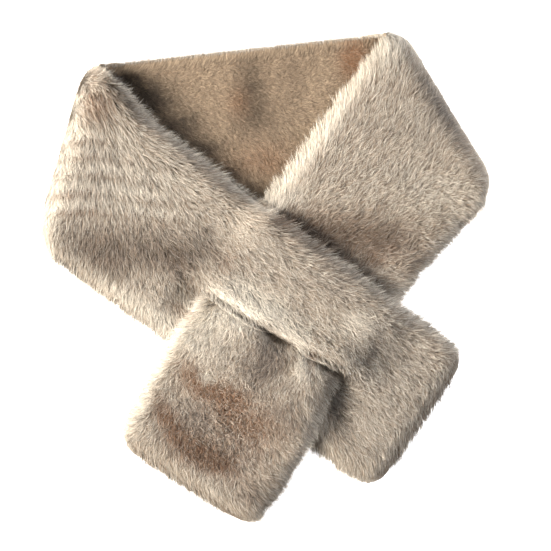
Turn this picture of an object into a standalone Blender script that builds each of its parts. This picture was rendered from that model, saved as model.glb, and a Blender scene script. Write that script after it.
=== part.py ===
"""Fur collar wrap, laid flat.

One long strip, an outer panel of long-piled fur and an inner panel of short plush sewn edge to edge.
The neck stretch lies at the back with its plush up. Both ends are folded over towards the front, and
the right end is pulled up through a lengthwise slit in the left arm. Lengths are in millimetres until
the meshes are made.

Plan positions are taken in the frame of the crossing: "along" runs down the left arm and "across"
runs down the right arm, square to it.
"""

import math

import bmesh
import bpy
import numpy as np

METRES = 0.001

# Thickness of the layers.
PLUSH = 4.0
SEAM_GAP = 0.15
REST_GAP = 0.7
STRAND_GAP = 1.5
FUR_FREE = 13.0
FUR_PRESSED = 7.0
FUR_UNDER_NECK = 10.0

# The rim of the fur round an edge, measured from the side the plush is on.
RIM_TOP = 2.6
RIM_LOW = 0.7
NECK_RIM_TOP = 3.6
NECK_RIM_LOW = 2.0
RIM_ROUND = 21.0
UNDERSIDE_ROUND = 13.0
LIP_ROUND = 10.0
PLUSH_RIM = 1.5
PLUSH_ROUND = 5.0
PLUSH_INSET = 7.0
LIP_INSET = 4.0

# The plan frame of the crossing.
CROSSING_X = 12.97
CROSSING_Y = -30.76
ALONG = np.array((0.8, -0.6))
ACROSS = np.array((-0.6, -0.8))

# The two ends of the strip: how far they reach, how much they slant, how round their corners are.
LEFT_ARM_END = 141.5
LEFT_END_SLANT = 2.0
LEFT_CORNER_ROUND = 16.0
RIGHT_TAIL_END = 155.5
RIGHT_END_SLANT = -4.0
RIGHT_CORNER_ROUND = 13.0

# Folds: the bend of the cloth's middle layer, and how far inside the fur's outline it lies.
FOLD_RADIUS = 6.0
FOLD_INSET = 15.0
FOLD_SETTLE = 52.0
NECK_END_INSET = 27.0
FOLD_TURNS = (0.0, 36.0, 72.0, 108.0, 144.0, 180.0)
CORNER_FAN = 2.0

# Fold outlines, from the corner on the upper edge to the corner on the lower edge (along, across).
LEFT_FOLD = np.array(((-245.5, -64.0), (-191.5, 70.5)))
RIGHT_FOLD = np.array(((-58.0, -240.5), (72.5, -185.5)))
# The neck's edges leave both folds in the same direction.
NECK_RUN = np.array((0.722, -0.692))

# The slit: where it starts and ends along the left arm, and how wide the pulled-through end holds it.
SLIT_START = -88.0
SLIT_END = 90.0
SLIT_WIDTH = 1.0
SLIT_OPENING = 8.0
LIP_LEFT = 20.5
LIP_RIGHT = 3.0
LIP_REACH = 66.0
# The plush is cut back from the lips as soon as the slit opens; the fur tucks under a little later.
PLUSH_SLIT_START = 0.25
FUR_TUCK_START = 0.45

# The left arm: its fur's edges at a few places (along, upper, lower).
LEFT_EDGES = np.array((
    (-260.0, -64.0, 70.5),
    (-120.0, -63.5, 72.5),
    (-40.0, -64.0, 70.5),
    (60.0, -65.0, 70.5),
    (110.0, -66.5, 70.5),
    (142.0, -65.5, 69.0),
))

# The right arm and right tail: its fur's edges at a few places (across, left, right).
RIGHT_EDGES = np.array((
    (-260.0, -67.0, 75.0),
    (-160.0, -67.0, 76.0),
    (-120.0, -66.5, 72.5),
    (-60.0, -67.0, 69.0),
    (-20.0, -66.5, 69.0),
    (20.0, -62.5, 68.0),
    (75.0, -59.5, 80.0),
    (113.0, -54.5, 84.0),
    (156.0, -47.0, 84.5),
))


def ramp(value, start, end):
    """Smooth step from 0 at start to 1 at end."""
    share = np.clip((value - start) / (end - start), 0.0, 1.0)
    return share * share * (3.0 - 2.0 * share)


def straight_ramp(value, start, end):
    """Straight step from 0 at start to 1 at end."""
    return np.clip((value - start) / (end - start), 0.0, 1.0)


def dome(distance, width):
    """Quarter-round rise from 0 at the edge to 1 at the given width."""
    share = 1.0 - np.clip(distance / width, 0.0, 1.0)
    return np.sqrt(1.0 - share * share)


def smooth_table(table, column, value):
    """Read one column of a table of places with a smooth curve through its rows."""
    places = table[:, 0]
    heights = table[:, column]
    slopes = np.gradient(heights, places)
    index = np.clip(np.searchsorted(places, value) - 1, 0, len(places) - 2)
    step = places[index + 1] - places[index]
    share = np.clip((value - places[index]) / step, 0.0, 1.0)
    square = share * share
    cube = square * share
    return (
        (2.0 * cube - 3.0 * square + 1.0) * heights[index]
        + (cube - 2.0 * square + share) * step * slopes[index]
        + (3.0 * square - 2.0 * cube) * heights[index + 1]
        + (cube - square) * step * slopes[index + 1]
    )


def lip_across(along):
    """Where the slit's upper lip lies across the left arm."""
    share = straight_ramp(along, -LIP_REACH, LIP_REACH)
    return LIP_LEFT + (LIP_RIGHT - LIP_LEFT) * share * share


def slit_opening(along):
    """How far the slit is open at this place, 0 at its ends and 1 where the tail fills it."""
    return ramp(along, SLIT_START, SLIT_START + 16.0) * (1.0 - ramp(along, SLIT_END - 16.0, SLIT_END))


def slit_gape(along):
    """How far apart the lips lie in plan: a slit's width outside the tail, wider where it passes."""
    passing = ramp(along, -68.0, -44.0) * (1.0 - ramp(along, 46.0, 72.0))
    return slit_opening(along) * (SLIT_WIDTH + (SLIT_OPENING - SLIT_WIDTH) * passing)


def corner_inset(end_distance, radius):
    """How far a rounded corner draws the side in, at a distance from the end."""
    left = np.clip(radius - end_distance, 0.0, radius)
    return radius - np.sqrt(radius * radius - left * left)


def neck_height(along, across):
    """Height that the neck stretch gives to what lies on it, falling to the floor in front of it."""
    corner = LEFT_FOLD[1]
    outward = np.array((-NECK_RUN[1], NECK_RUN[0]))
    beyond = (along - corner[0]) * outward[0] + (across - corner[1]) * outward[1]
    top = FUR_UNDER_NECK + PLUSH + REST_GAP
    return top * (1.0 - ramp(beyond, -3.0, 44.0))


def tail_rise(along, across):
    """Climb of the right end through the slit, on to the lower strand, and down again past it."""
    lip = lip_across(along)
    climb = ramp(across - lip, -28.0, 15.0)
    descent = 1.0 - ramp(across, 58.0, 98.0)
    return (PLUSH + FUR_PRESSED + REST_GAP) * climb * descent


def right_support(along, across):
    """Height of what the right arm and right tail lie on."""
    return neck_height(along, across) + tail_rise(along, across)


def left_support(along, across, upper_strand):
    """Height of what the left arm lies on; only the strand above the slit climbs over the right arm."""
    over = ramp(along, SLIT_START, -56.0) * (1.0 - ramp(along, 59.0, SLIT_END))
    stack = PLUSH + FUR_PRESSED + STRAND_GAP + tail_rise(along, across)
    return neck_height(along, across) + np.where(upper_strand, over * stack, 0.0)


def right_fur(along, across):
    """Pile height on the right arm and tail: pressed flat below the strand, dimpled below the lip."""
    lip = lip_across(along)
    under = ramp(across, -97.0, -76.0) * (1.0 - ramp(across - lip, -1.0, 15.0))
    gather_along = (along - 24.0) * 0.94 + (across - 20.0) * 0.34
    gather_across = (across - 20.0) * 0.94 - (along - 24.0) * 0.34
    before = np.minimum(gather_along, 0.0) / 10.0
    after = np.maximum(gather_along, 0.0) / 26.0
    dimple = 4.0 * np.exp(-before ** 2 - after ** 2 - (gather_across / 9.0) ** 2)
    return FUR_FREE - (FUR_FREE - FUR_PRESSED) * under - dimple


def left_fur(along, across, upper_strand):
    """Pile height on the left arm: pressed flat where the right tail lies on the lower strand."""
    lip = lip_across(along)
    covered = ramp(along, -88.0, -68.0) * (1.0 - ramp(along, 86.0, 104.0))
    reach = np.maximum(ramp(across - lip, 0.0, 12.0), slit_opening(along))
    pressed = np.where(upper_strand, 0.0, covered * reach)
    return FUR_FREE - (FUR_FREE - FUR_PRESSED) * pressed


def fold_ends(fold, run_upper, run_lower, inset):
    """Ends of a line parallel to a fold's outline, the given distance inside it."""
    line = fold[1] - fold[0]
    inward = np.array((-line[1], line[0])) / np.linalg.norm(line)
    if inward @ run_upper < 0.0:
        inward = -inward
    upper = fold[0] + run_upper * inset / (inward @ run_upper)
    lower = fold[1] + run_lower * inset / (inward @ run_lower)
    return upper, lower, -inward


def bend_rows(fold, neck_run, arm_upper, arm_lower, neck_insets):
    """Lines across the strip from the neck's level round the fold, up to the arm's level."""
    rows = []
    for inset in neck_insets:
        upper, lower, outward = fold_ends(fold, neck_run, neck_run, inset)
        rows.append((upper, lower, outward, 0.0))
    neck_upper, neck_lower, outward = fold_ends(fold, neck_run, neck_run, FOLD_INSET)
    for degrees in FOLD_TURNS:
        turn = math.radians(degrees)
        share = degrees / 180.0
        shift = outward * FOLD_RADIUS * math.sin(turn)
        upper = neck_upper + (arm_upper - neck_upper) * share + shift
        lower = neck_lower + (arm_lower - neck_lower) * share + shift
        line = (lower - upper) / np.linalg.norm(lower - upper)
        fan = CORNER_FAN * math.sin(turn)
        rows.append((upper - line * fan, lower + line * fan, outward, turn))
    return rows


class Stretch:
    """Lines across one stretch of the strip, each with its ends, its turn and its lift off the support."""

    def __init__(self, rows, settle, end_distance, support, fur, flat_level):
        self.upper = np.array([row[0] for row in rows])
        self.lower = np.array([row[1] for row in rows])
        self.outward = np.array([row[2] for row in rows])
        self.turn = np.array([row[3] for row in rows])
        self.settle = np.array(settle)
        self.end_distance = np.array(end_distance)
        self.support = support
        self.fur = fur
        self.flat_level = flat_level

    def length(self):
        return np.linalg.norm(self.lower - self.upper, axis=1)

    def plan(self, reach):
        """Plan position of points at the given distances from the upper edge."""
        share = reach / self.length()[:, None]
        return self.upper[:, None, :] + (self.lower - self.upper)[:, None, :] * share[:, :, None]

    def middle(self, plan, upper_strand):
        """Height of the seam between the two panels."""
        bend = FUR_UNDER_NECK + FOLD_RADIUS * (1.0 - np.cos(self.turn))[:, None]
        if self.flat_level:
            return bend + np.zeros(plan.shape[:2])
        rest = PLUSH + self.support(plan[:, :, 0], plan[:, :, 1], upper_strand)
        return bend + (rest - bend) * self.settle[:, None]

    def place(self, plan, middle, offset):
        """Points at an offset from the seam towards the fur side, in the row's frame."""
        sideways = np.sin(self.turn)[:, None] * offset
        moved = plan + self.outward[:, None, :] * sideways[:, :, None]
        height = middle - np.cos(self.turn)[:, None] * offset
        x = CROSSING_X + moved[:, :, 0] * ALONG[0] + moved[:, :, 1] * ACROSS[0]
        y = CROSSING_Y + moved[:, :, 0] * ALONG[1] + moved[:, :, 1] * ACROSS[1]
        return np.stack((x, y, height), axis=2) * METRES


def left_arm(end_steps):
    """The left arm, from below the neck round its fold to the left end."""
    first = FOLD_INSET
    arm_run = np.array((1.0, 0.0))
    upper, lower, outward = fold_ends(LEFT_FOLD, arm_run, arm_run, first)
    mean = 0.5 * (upper[0] + lower[0])
    skew = 0.5 * (lower[0] - upper[0])

    def line(station):
        slant = skew * (1.0 - straight_ramp(station, mean, SLIT_START))
        slant = slant + LEFT_END_SLANT * ramp(station, SLIT_END, LEFT_ARM_END)
        lift = 12.0 * (1.0 - ramp(station, mean, mean + 48.0))
        inset = corner_inset(LEFT_ARM_END - station, LEFT_CORNER_ROUND)
        high = np.array((station - slant, smooth_table(LEFT_EDGES, 1, station) - lift + inset))
        low = np.array((station + slant, smooth_table(LEFT_EDGES, 2, station) - inset))
        return high, low

    high, low = line(mean)
    rows = bend_rows(LEFT_FOLD, NECK_RUN, high, low, (NECK_END_INSET - 0.3, 22.0))
    settle = [0.0] * len(rows)
    stations = list(np.linspace(mean, SLIT_START, 10)[1:])
    stations += [-81.0, -73.0, -64.0, -53.0, -40.0, -24.0, -6.0, 12.0, 28.0, 43.0, 56.0, 66.0, 75.0, 83.0]
    stations += [SLIT_END]
    stations += [LEFT_ARM_END - step for step in end_steps]
    span = FOLD_SETTLE - FOLD_INSET
    for station in stations:
        high, low = line(station)
        rows.append((high, low, outward, math.pi))
        settle.append(float(ramp(station, mean, mean + span)))
    ends = [999.0] * (len(rows) - len(end_steps)) + list(end_steps)
    stretch = Stretch(rows, settle, ends, left_support, left_fur, False)
    along = 0.5 * (stretch.upper[:, 0] + stretch.lower[:, 0])
    stretch.lip = (lip_across(along) - stretch.upper[:, 1])
    stretch.opening = slit_opening(along) * (stretch.turn > 3.0)
    stretch.gape = slit_gape(along) * (stretch.turn > 3.0)
    return stretch


def right_line(station, mean, skew, end_distance):
    """Ends of a line across the right arm or right tail."""
    slant = skew * (1.0 - straight_ramp(station, mean, -60.0))
    slant = slant + RIGHT_END_SLANT * ramp(station, RIGHT_TAIL_END - 55.0, RIGHT_TAIL_END)
    inset = corner_inset(end_distance, RIGHT_CORNER_ROUND)
    high = np.array((smooth_table(RIGHT_EDGES, 1, station - slant) + inset, station - slant))
    low = np.array((smooth_table(RIGHT_EDGES, 2, station + slant) - inset, station + slant))
    return high, low


def right_arm():
    """The right arm, from below the neck round its fold to beneath the upper strand."""
    arm_run = np.array((0.0, 1.0))
    upper, lower, outward = fold_ends(RIGHT_FOLD, arm_run, arm_run, FOLD_INSET)
    mean = 0.5 * (upper[1] + lower[1])
    skew = 0.5 * (lower[1] - upper[1])
    high, low = right_line(mean, mean, skew, 999.0)
    rows = bend_rows(RIGHT_FOLD, -NECK_RUN, high, low, (NECK_END_INSET - 0.3, 22.0))
    settle = [0.0] * len(rows)
    span = FOLD_SETTLE - FOLD_INSET
    stations = list(np.linspace(mean, -60.0, 12)[1:]) + [-47.0, -34.0, -20.3]
    for station in stations:
        high, low = right_line(station, mean, skew, 999.0)
        rows.append((high, low, outward, math.pi))
        settle.append(float(ramp(station, mean, mean + span)))

    def support(along, across, upper_strand):
        return right_support(along, across)

    def fur(along, across, upper_strand):
        return right_fur(along, across)

    return Stretch(rows, settle, [999.0] * len(rows), support, fur, False)


def right_tail(end_steps):
    """The right end, from beneath the upper strand up through the slit to its tip."""
    rows = []
    stations = [-20.0, -10.0, -2.0, 5.0, 12.0, 19.0, 26.0, 34.0, 46.0, 58.0, 68.0, 78.0, 88.0, 98.0, 111.0]
    ends = [RIGHT_TAIL_END - station for station in stations] + list(end_steps)
    stations += [RIGHT_TAIL_END - step for step in end_steps]
    for station, end in zip(stations, ends):
        high, low = right_line(station, RIGHT_FOLD[0, 1], 0.0, end)
        rows.append((high, low, np.zeros(2), math.pi))

    def support(along, across, upper_strand):
        return right_support(along, across)

    def fur(along, across, upper_strand):
        return right_fur(along, across)

    return Stretch(rows, [1.0] * len(rows), ends, support, fur, False)


def neck():
    """The neck stretch between the folds, plush side up."""
    left_upper, left_lower, outward = fold_ends(LEFT_FOLD, NECK_RUN, NECK_RUN, NECK_END_INSET)
    right_upper, right_lower, outward = fold_ends(RIGHT_FOLD, -NECK_RUN, -NECK_RUN, NECK_END_INSET)
    rows = []
    for share in np.linspace(0.0, 1.0, 9):
        high = left_upper + (right_upper - left_upper) * share
        low = left_lower + (right_lower - left_lower) * share
        rows.append((high, low, np.zeros(2), 0.0))
    return Stretch(rows, [0.0] * len(rows), [999.0] * len(rows), None, None, True)


def strip_columns(stretch, steps, inner_count):
    """Distances of the grid's columns from the upper edge: steps at both edges, even in between."""
    length = stretch.length()[:, None]
    steps = np.array(steps)
    first = steps[None, :] + np.zeros_like(length)
    last = length - steps[::-1][None, :]
    share = np.linspace(0.0, 1.0, inner_count + 2)[1:-1][None, :]
    between = first[:, -1:] + (last[:, :1] - first[:, -1:]) * share
    return np.concatenate((first, between, last), axis=1)


def slit_columns(stretch, steps, lip_steps, upper_count, lower_count, lip_inset):
    """Columns of the left arm: those of the upper strand up to the lip, then those of the lower."""
    length = stretch.length()[:, None]
    lip = stretch.lip[:, None]
    opening = stretch.opening[:, None]
    steps = np.array(steps)[None, :]
    lip_steps = np.array(lip_steps)[None, :] + np.zeros_like(length)
    lip_steps[:, :1] = lip_inset * straight_ramp(opening, 0.0, PLUSH_SLIT_START)
    first = steps + np.zeros_like(length)
    before_lip = lip - lip_steps[:, ::-1]
    after_lip = lip + stretch.gape[:, None] + lip_steps
    last = length - steps[:, ::-1]
    share = np.linspace(0.0, 1.0, upper_count + 2)[1:-1][None, :]
    upper = first[:, -1:] + (before_lip[:, :1] - first[:, -1:]) * share
    share = np.linspace(0.0, 1.0, lower_count + 2)[1:-1][None, :]
    lower = after_lip[:, -1:] + (last[:, :1] - after_lip[:, -1:]) * share
    upper_columns = np.concatenate((first, upper, before_lip), axis=1)
    lower_columns = np.concatenate((after_lip, lower, last), axis=1)
    return np.concatenate((upper_columns, lower_columns), axis=1), upper_columns.shape[1]


def fur_offsets(stretch, reach, plan, upper_strand, split):
    """Offsets of the outer panel's two faces from the seam, towards the fur side."""
    length = stretch.length()[:, None]
    neck_like = (1.0 - stretch.turn / math.pi)[:, None]
    edge = np.minimum(reach, length - reach)
    end = stretch.end_distance[:, None] + np.zeros_like(edge)
    rounding = RIM_ROUND + (UNDERSIDE_ROUND - RIM_ROUND) * neck_like
    rise = dome(edge, rounding) * dome(end, rounding)
    tuck = 1.0 - np.minimum(straight_ramp(edge, 2.0, 7.0), straight_ramp(end, 2.0, 7.0))
    if split:
        opening = stretch.opening[:, None]
        lip = stretch.lip[:, None]
        lip_edge = np.where(upper_strand, lip - reach, reach - lip - stretch.gape[:, None])
        lip_edge = np.maximum(lip_edge, 0.0)
        rise = rise * (1.0 - opening * (1.0 - dome(lip_edge, LIP_ROUND)))
        tucked = straight_ramp(opening, FUR_TUCK_START, 1.0)
        tuck = np.maximum(tuck, tucked * (1.0 - straight_ramp(lip_edge, 1.0, 4.0)))
    if stretch.fur is None:
        pile = FUR_UNDER_NECK + np.zeros_like(edge)
    else:
        pile = stretch.fur(plan[:, :, 0], plan[:, :, 1], upper_strand)
        pile = pile + (FUR_UNDER_NECK - pile) * neck_like
    rim_top = RIM_TOP + (NECK_RIM_TOP - RIM_TOP) * neck_like
    rim_low = RIM_LOW + (NECK_RIM_LOW - RIM_LOW) * neck_like
    far = rim_top + (PLUSH + pile - rim_top) * rise - PLUSH
    near = SEAM_GAP + (rim_low - PLUSH - SEAM_GAP) * tuck
    return far, near


def plush_offsets(stretch, reach, split, upper_strand):
    """Offsets of the inner panel's two faces from the seam, towards the fur side."""
    length = stretch.length()[:, None]
    edge = np.minimum(reach, length - reach) - PLUSH_INSET
    end = stretch.end_distance[:, None] - PLUSH_INSET + np.zeros_like(edge)
    rise = dome(edge, PLUSH_ROUND) * dome(end, PLUSH_ROUND)
    if split:
        opening = stretch.opening[:, None]
        lip = stretch.lip[:, None]
        lip_edge = np.where(upper_strand, lip - reach, reach - lip - stretch.gape[:, None])
        lip_edge = np.maximum(lip_edge - LIP_INSET * straight_ramp(opening, 0.0, PLUSH_SLIT_START), 0.0)
        rise = rise * (1.0 - opening * (1.0 - dome(lip_edge, PLUSH_ROUND)))
    far = np.zeros_like(rise) - SEAM_GAP
    near = -(PLUSH_RIM + (PLUSH - PLUSH_RIM) * rise)
    return far, near


def number_points(rows, columns, lip_column, inside_slit, start):
    """Point numbers of one face of a panel; outside the slit its two lip columns are one."""
    numbers = np.zeros((rows, columns), dtype=int)
    keep = np.ones((rows, columns), dtype=bool)
    if lip_column is not None:
        keep[:, lip_column] = inside_slit
    numbers[keep] = start + np.arange(int(keep.sum()))
    if lip_column is not None:
        closed = ~inside_slit
        numbers[closed, lip_column] = numbers[closed, lip_column - 1]
    return numbers, keep


def grid_triangles(numbers, lip_column):
    """Triangles of one face of a panel, leaving out the slit."""
    corner = numbers[:-1, :-1]
    right = numbers[:-1, 1:]
    below = numbers[1:, :-1]
    opposite = numbers[1:, 1:]
    used = np.ones(corner.shape[1], dtype=bool)
    if lip_column is not None:
        used[lip_column - 1] = False
    first = np.stack((corner[:, used], right[:, used], opposite[:, used]), axis=2)
    second = np.stack((corner[:, used], opposite[:, used], below[:, used]), axis=2)
    return np.concatenate((first.reshape(-1, 3), second.reshape(-1, 3)))


def wall_triangles(far_line, near_line):
    """Triangles of a wall between two matching lines of points."""
    first = np.stack((far_line[:-1], near_line[:-1], near_line[1:]), axis=1)
    second = np.stack((far_line[:-1], near_line[1:], far_line[1:]), axis=1)
    return np.concatenate((first, second))


def panel(name, far_points, near_points, lip_column, inside_slit, material):
    """One closed solid between its fur-side face and its plush-side face."""
    rows, columns = far_points.shape[:2]
    far, keep = number_points(rows, columns, lip_column, inside_slit, 0)
    near = far + int(keep.sum())
    points = np.concatenate((far_points[keep], near_points[keep]))
    parts = [grid_triangles(far, lip_column), grid_triangles(near, lip_column)[:, ::-1]]
    parts.append(wall_triangles(far[:, 0], near[:, 0])[:, ::-1])
    parts.append(wall_triangles(far[:, -1], near[:, -1]))
    ends = np.arange(columns)
    if lip_column is not None:
        ends = np.delete(ends, lip_column)
    parts.append(wall_triangles(far[0, ends], near[0, ends]))
    parts.append(wall_triangles(far[-1, ends], near[-1, ends])[:, ::-1])
    if lip_column is not None:
        rows_used = np.flatnonzero(inside_slit)
        span = np.arange(rows_used[0] - 1, rows_used[-1] + 2)
        parts.append(wall_triangles(far[span, lip_column - 1], near[span, lip_column - 1]))
        parts.append(wall_triangles(far[span, lip_column], near[span, lip_column])[:, ::-1])
    triangles = np.concatenate(parts)
    mesh = bpy.data.meshes.new(name)
    mesh.from_pydata(points.tolist(), [], triangles.tolist())
    work = bmesh.new()
    work.from_mesh(mesh)
    bmesh.ops.recalc_face_normals(work, faces=work.faces)
    if work.calc_volume(signed=True) < 0.0:
        bmesh.ops.reverse_faces(work, faces=work.faces)
    work.to_mesh(mesh)
    work.free()
    mesh.materials.append(material)
    for face in mesh.polygons:
        face.use_smooth = True
    node = bpy.data.objects.new(name, mesh)
    bpy.context.scene.collection.objects.link(node)
    return node


def fabric(name, red, green, blue, roughness):
    """A plain cloth material."""
    material = bpy.data.materials.new(name)
    material.use_nodes = True
    shader = material.node_tree.nodes["Principled BSDF"]
    shader.inputs["Base Color"].default_value = (red, green, blue, 1.0)
    shader.inputs["Roughness"].default_value = roughness
    return material


def build_panel(name, stretch, kind, inner_count, material):
    """Build one panel of one stretch: kind is "fur" or "plush"."""
    split = hasattr(stretch, "lip")
    lip_column = None
    inside_slit = None
    if kind == "fur":
        steps = (0.0, 2.0, 7.0, 13.0, 21.0)
        lip_steps = (0.0, 1.0, 4.0, 10.0)
        lip_inset = 0.0
    else:
        steps = (PLUSH_INSET, 13.0, 21.0)
        lip_steps = (LIP_INSET, LIP_INSET + 0.6, 10.0)
        lip_inset = LIP_INSET
    if split:
        reach, lip_column = slit_columns(stretch, steps, lip_steps, inner_count, 1, lip_inset)
        inside_slit = stretch.opening > 0.0
    else:
        reach = strip_columns(stretch, steps, inner_count)
    upper_strand = np.zeros(reach.shape, dtype=bool)
    if split:
        upper_strand[:, :lip_column] = True
    plan = stretch.plan(reach)
    middle = stretch.middle(plan, upper_strand)
    if kind == "fur":
        far, near = fur_offsets(stretch, reach, plan, upper_strand, split)
    else:
        far, near = plush_offsets(stretch, reach, split, upper_strand)
    far_points = stretch.place(plan, middle, far)
    near_points = stretch.place(plan, middle, near)
    return panel(name, far_points, near_points, lip_column, inside_slit, material)


def build():
    for item in list(bpy.data.objects):
        bpy.data.objects.remove(item, do_unlink=True)
    fur_end_steps = (31.0, 21.0, 13.0, 7.0, 2.0, 0.0)
    plush_end_steps = (31.0, 20.0, PLUSH_INSET + 5.0, PLUSH_INSET + 1.5, PLUSH_INSET)
    left_outer = fabric("left arm fur", 0.50, 0.42, 0.34, 0.9)
    left_inner = fabric("left arm plush", 0.50, 0.37, 0.25, 0.9)
    neck_outer = fabric("neck fur", 0.50, 0.42, 0.34, 0.9)
    neck_inner = fabric("neck plush", 0.50, 0.37, 0.25, 0.9)
    right_outer = fabric("right arm fur", 0.50, 0.42, 0.34, 0.9)
    right_inner = fabric("right arm plush", 0.50, 0.37, 0.25, 0.9)
    tail_outer = fabric("right tail fur", 0.50, 0.42, 0.34, 0.9)
    tail_inner = fabric("right tail plush", 0.50, 0.37, 0.25, 0.9)
    build_panel("left_arm_outer", left_arm(fur_end_steps), "fur", 3, left_outer)
    build_panel("left_arm_inner", left_arm(plush_end_steps), "plush", 3, left_inner)
    build_panel("neck_outer", neck(), "fur", 1, neck_outer)
    build_panel("neck_inner", neck(), "plush", 1, neck_inner)
    build_panel("right_arm_outer", right_arm(), "fur", 4, right_outer)
    build_panel("right_arm_inner", right_arm(), "plush", 4, right_inner)
    build_panel("right_tail_outer", right_tail(fur_end_steps), "fur", 4, tail_outer)
    build_panel("right_tail_inner", right_tail(plush_end_steps), "plush", 4, tail_inner)


build()
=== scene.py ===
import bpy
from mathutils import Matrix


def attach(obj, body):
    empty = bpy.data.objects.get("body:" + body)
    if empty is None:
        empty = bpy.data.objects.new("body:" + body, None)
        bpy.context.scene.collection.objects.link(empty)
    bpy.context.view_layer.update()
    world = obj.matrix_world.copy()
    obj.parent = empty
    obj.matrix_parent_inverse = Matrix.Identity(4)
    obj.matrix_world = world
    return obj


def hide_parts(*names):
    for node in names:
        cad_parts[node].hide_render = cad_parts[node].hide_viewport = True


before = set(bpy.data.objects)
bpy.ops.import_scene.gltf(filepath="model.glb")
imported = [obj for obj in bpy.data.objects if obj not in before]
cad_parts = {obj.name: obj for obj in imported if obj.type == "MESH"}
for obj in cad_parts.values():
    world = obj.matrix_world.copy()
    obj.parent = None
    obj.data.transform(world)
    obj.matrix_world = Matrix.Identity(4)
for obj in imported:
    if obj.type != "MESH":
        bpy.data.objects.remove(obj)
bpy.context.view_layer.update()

import copy
import math

import bpy
import numpy as np
from mathutils import Vector

# ---------------------------------------------------------------------------
# Camera: straight above the laid-out wrap, far enough back that its layers
# show no slant. The frame is square and 441 mm wide at the height of the fur.
FRAME_WIDTH = 0.4408
FRAME_CENTRE = (0.0084, 0.0016)
CAMERA_HEIGHT = 2.6
FUR_LEVEL = 0.018

lens = bpy.data.cameras.new("camera")
lens.sensor_width = 36
lens.lens = lens.sensor_width * (CAMERA_HEIGHT - FUR_LEVEL) / FRAME_WIDTH
lens.clip_end = 20
camera = bpy.data.objects.new("camera", lens)
camera.location = (*FRAME_CENTRE, CAMERA_HEIGHT)
bpy.context.scene.collection.objects.link(camera)
bpy.context.scene.camera = camera
bpy.context.scene.view_settings.view_transform = "Standard"


# ---------------------------------------------------------------------------
# Floor and light: a plain white sweep lit until it is white, a broad low
# light from the left, a weaker one from the right, and a little from above.
def linear(hex_colour):
    """sRGB hex to linear: v/12.92 below 0.04045, else ((v + 0.055)/1.055)^2.4."""
    values = [int(hex_colour[i:i + 2], 16) / 255 for i in (1, 3, 5)]
    return tuple(v / 12.92 if v <= 0.04045 else ((v + 0.055) / 1.055) ** 2.4 for v in values) + (1,)


def add_node(tree, kind, settings=None, links=None):
    """Add one node, set its properties and sockets by name or number, and link its inputs."""
    node = tree.nodes.new(kind)
    for name, value in (settings or {}).items():
        if isinstance(name, int) or name in node.inputs:
            node.inputs[name].default_value = value
        else:
            setattr(node, name, value)
    for name, source in (links or {}).items():
        tree.links.new(source, node.inputs[name])
    return node


def new_material(name):
    """An empty node material and its tree."""
    material = bpy.data.materials.new(name)
    material.use_nodes = True
    material.node_tree.nodes.clear()
    return material, material.node_tree


def add_surface(tree, settings, links=None):
    """Add a principled surface with these settings and links, and the output that it feeds."""
    bsdf = add_node(tree, "ShaderNodeBsdfPrincipled", settings, links)
    add_node(tree, "ShaderNodeOutputMaterial", None, {"Surface": bsdf.outputs["BSDF"]})


def area_light(name, place, size, watts, colour):
    """A square area light at a place, its -Z turned to the middle of the floor."""
    light = bpy.data.lights.new(name, "AREA")
    light.shape = "SQUARE"
    light.size = size
    light.energy = watts
    light.color = linear(colour)[:3]
    holder = bpy.data.objects.new(name, light)
    holder.location = place
    holder.rotation_euler = (-Vector(place)).to_track_quat("-Z", "Y").to_euler()
    bpy.context.scene.collection.objects.link(holder)


floor_mesh = bpy.data.meshes.new("floor")
floor_mesh.from_pydata([(-3, -3, 0), (3, -3, 0), (3, 3, 0), (-3, 3, 0)], [], [(0, 1, 2, 3)])
floor = bpy.data.objects.new("floor", floor_mesh)
bpy.context.scene.collection.objects.link(floor)
# Matt white paper that glows a little, so that it stays plain white around the wrap.
paper, tree = new_material("white paper sweep")
add_surface(tree, {"Base Color": linear("#E8E8E8"), "Roughness": 0.9,
                   "Emission Color": (1, 1, 1, 1), "Emission Strength": 1.4})
floor_mesh.materials.append(paper)

area_light("low light from the left", (-1.99, -0.05, 0.93), 0.9, 158, "#FFFBF4")
area_light("low light from the right", (1.93, 0.5, 0.93), 0.9, 54, "#F4F9FF")
area_light("overhead light", (0.1, 0.1, 2.4), 2.2, 5, "#FFFFFF")
world = bpy.data.worlds.new("studio")
world.use_nodes = True
sky = world.node_tree.nodes["Background"].inputs
sky["Color"].default_value = (1, 1, 1, 1)
sky["Strength"].default_value = 0.05
bpy.context.scene.world = world


# ---------------------------------------------------------------------------
# Pelts: the outer panel of long-piled faux fur, one strip sewn to the plush
# along its edges and laid in four stretches. These surfaces are its knitted
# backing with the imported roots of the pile.

# Lengths are in millimetres, in the frame of the crossing: "along" runs down
# the left arm and "across" down the right arm, square to it.
CROSSING = np.array((12.97, -30.76))
ALONG = np.array((0.8, -0.6))
ACROSS = np.array((-0.6, -0.8))
# Thickness of the layers, and the gaps between them.
PLUSH = 4
FUR_FREE = 13
FUR_PRESSED = 7
FUR_UNDER_NECK = 10
SEAM_GAP = 0.15
REST_GAP = 0.7
STRAND_GAP = 1.5
# The folds: each outline from its back to its front corner, and the strip's direction along the neck. Then
# the bend's radius, the inset of the flat lines next to it, how far from it they have settled, how much the
# edges spread in it, and the insets of the neck's end and of the arms' first lines, which lie beneath it.
LEFT_FOLD = np.array(((-245.5, -64), (-191.5, 70.5)))
RIGHT_FOLD = np.array(((-58, -240.5), (72.5, -185.5)))
NECK_RUN = np.array((0.722, -0.692))
FOLD_RADIUS = 6
FOLD_INSET = 15
FOLD_SETTLE = 52
CORNER_FAN = 1
NECK_END_INSET = 27
UNDER_INSETS = np.array((NECK_END_INSET - 0.06, 23, 19))
# How many lines the bend and the neck have.
TURN_LINES = 15
NECK_LINES = 70
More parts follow.
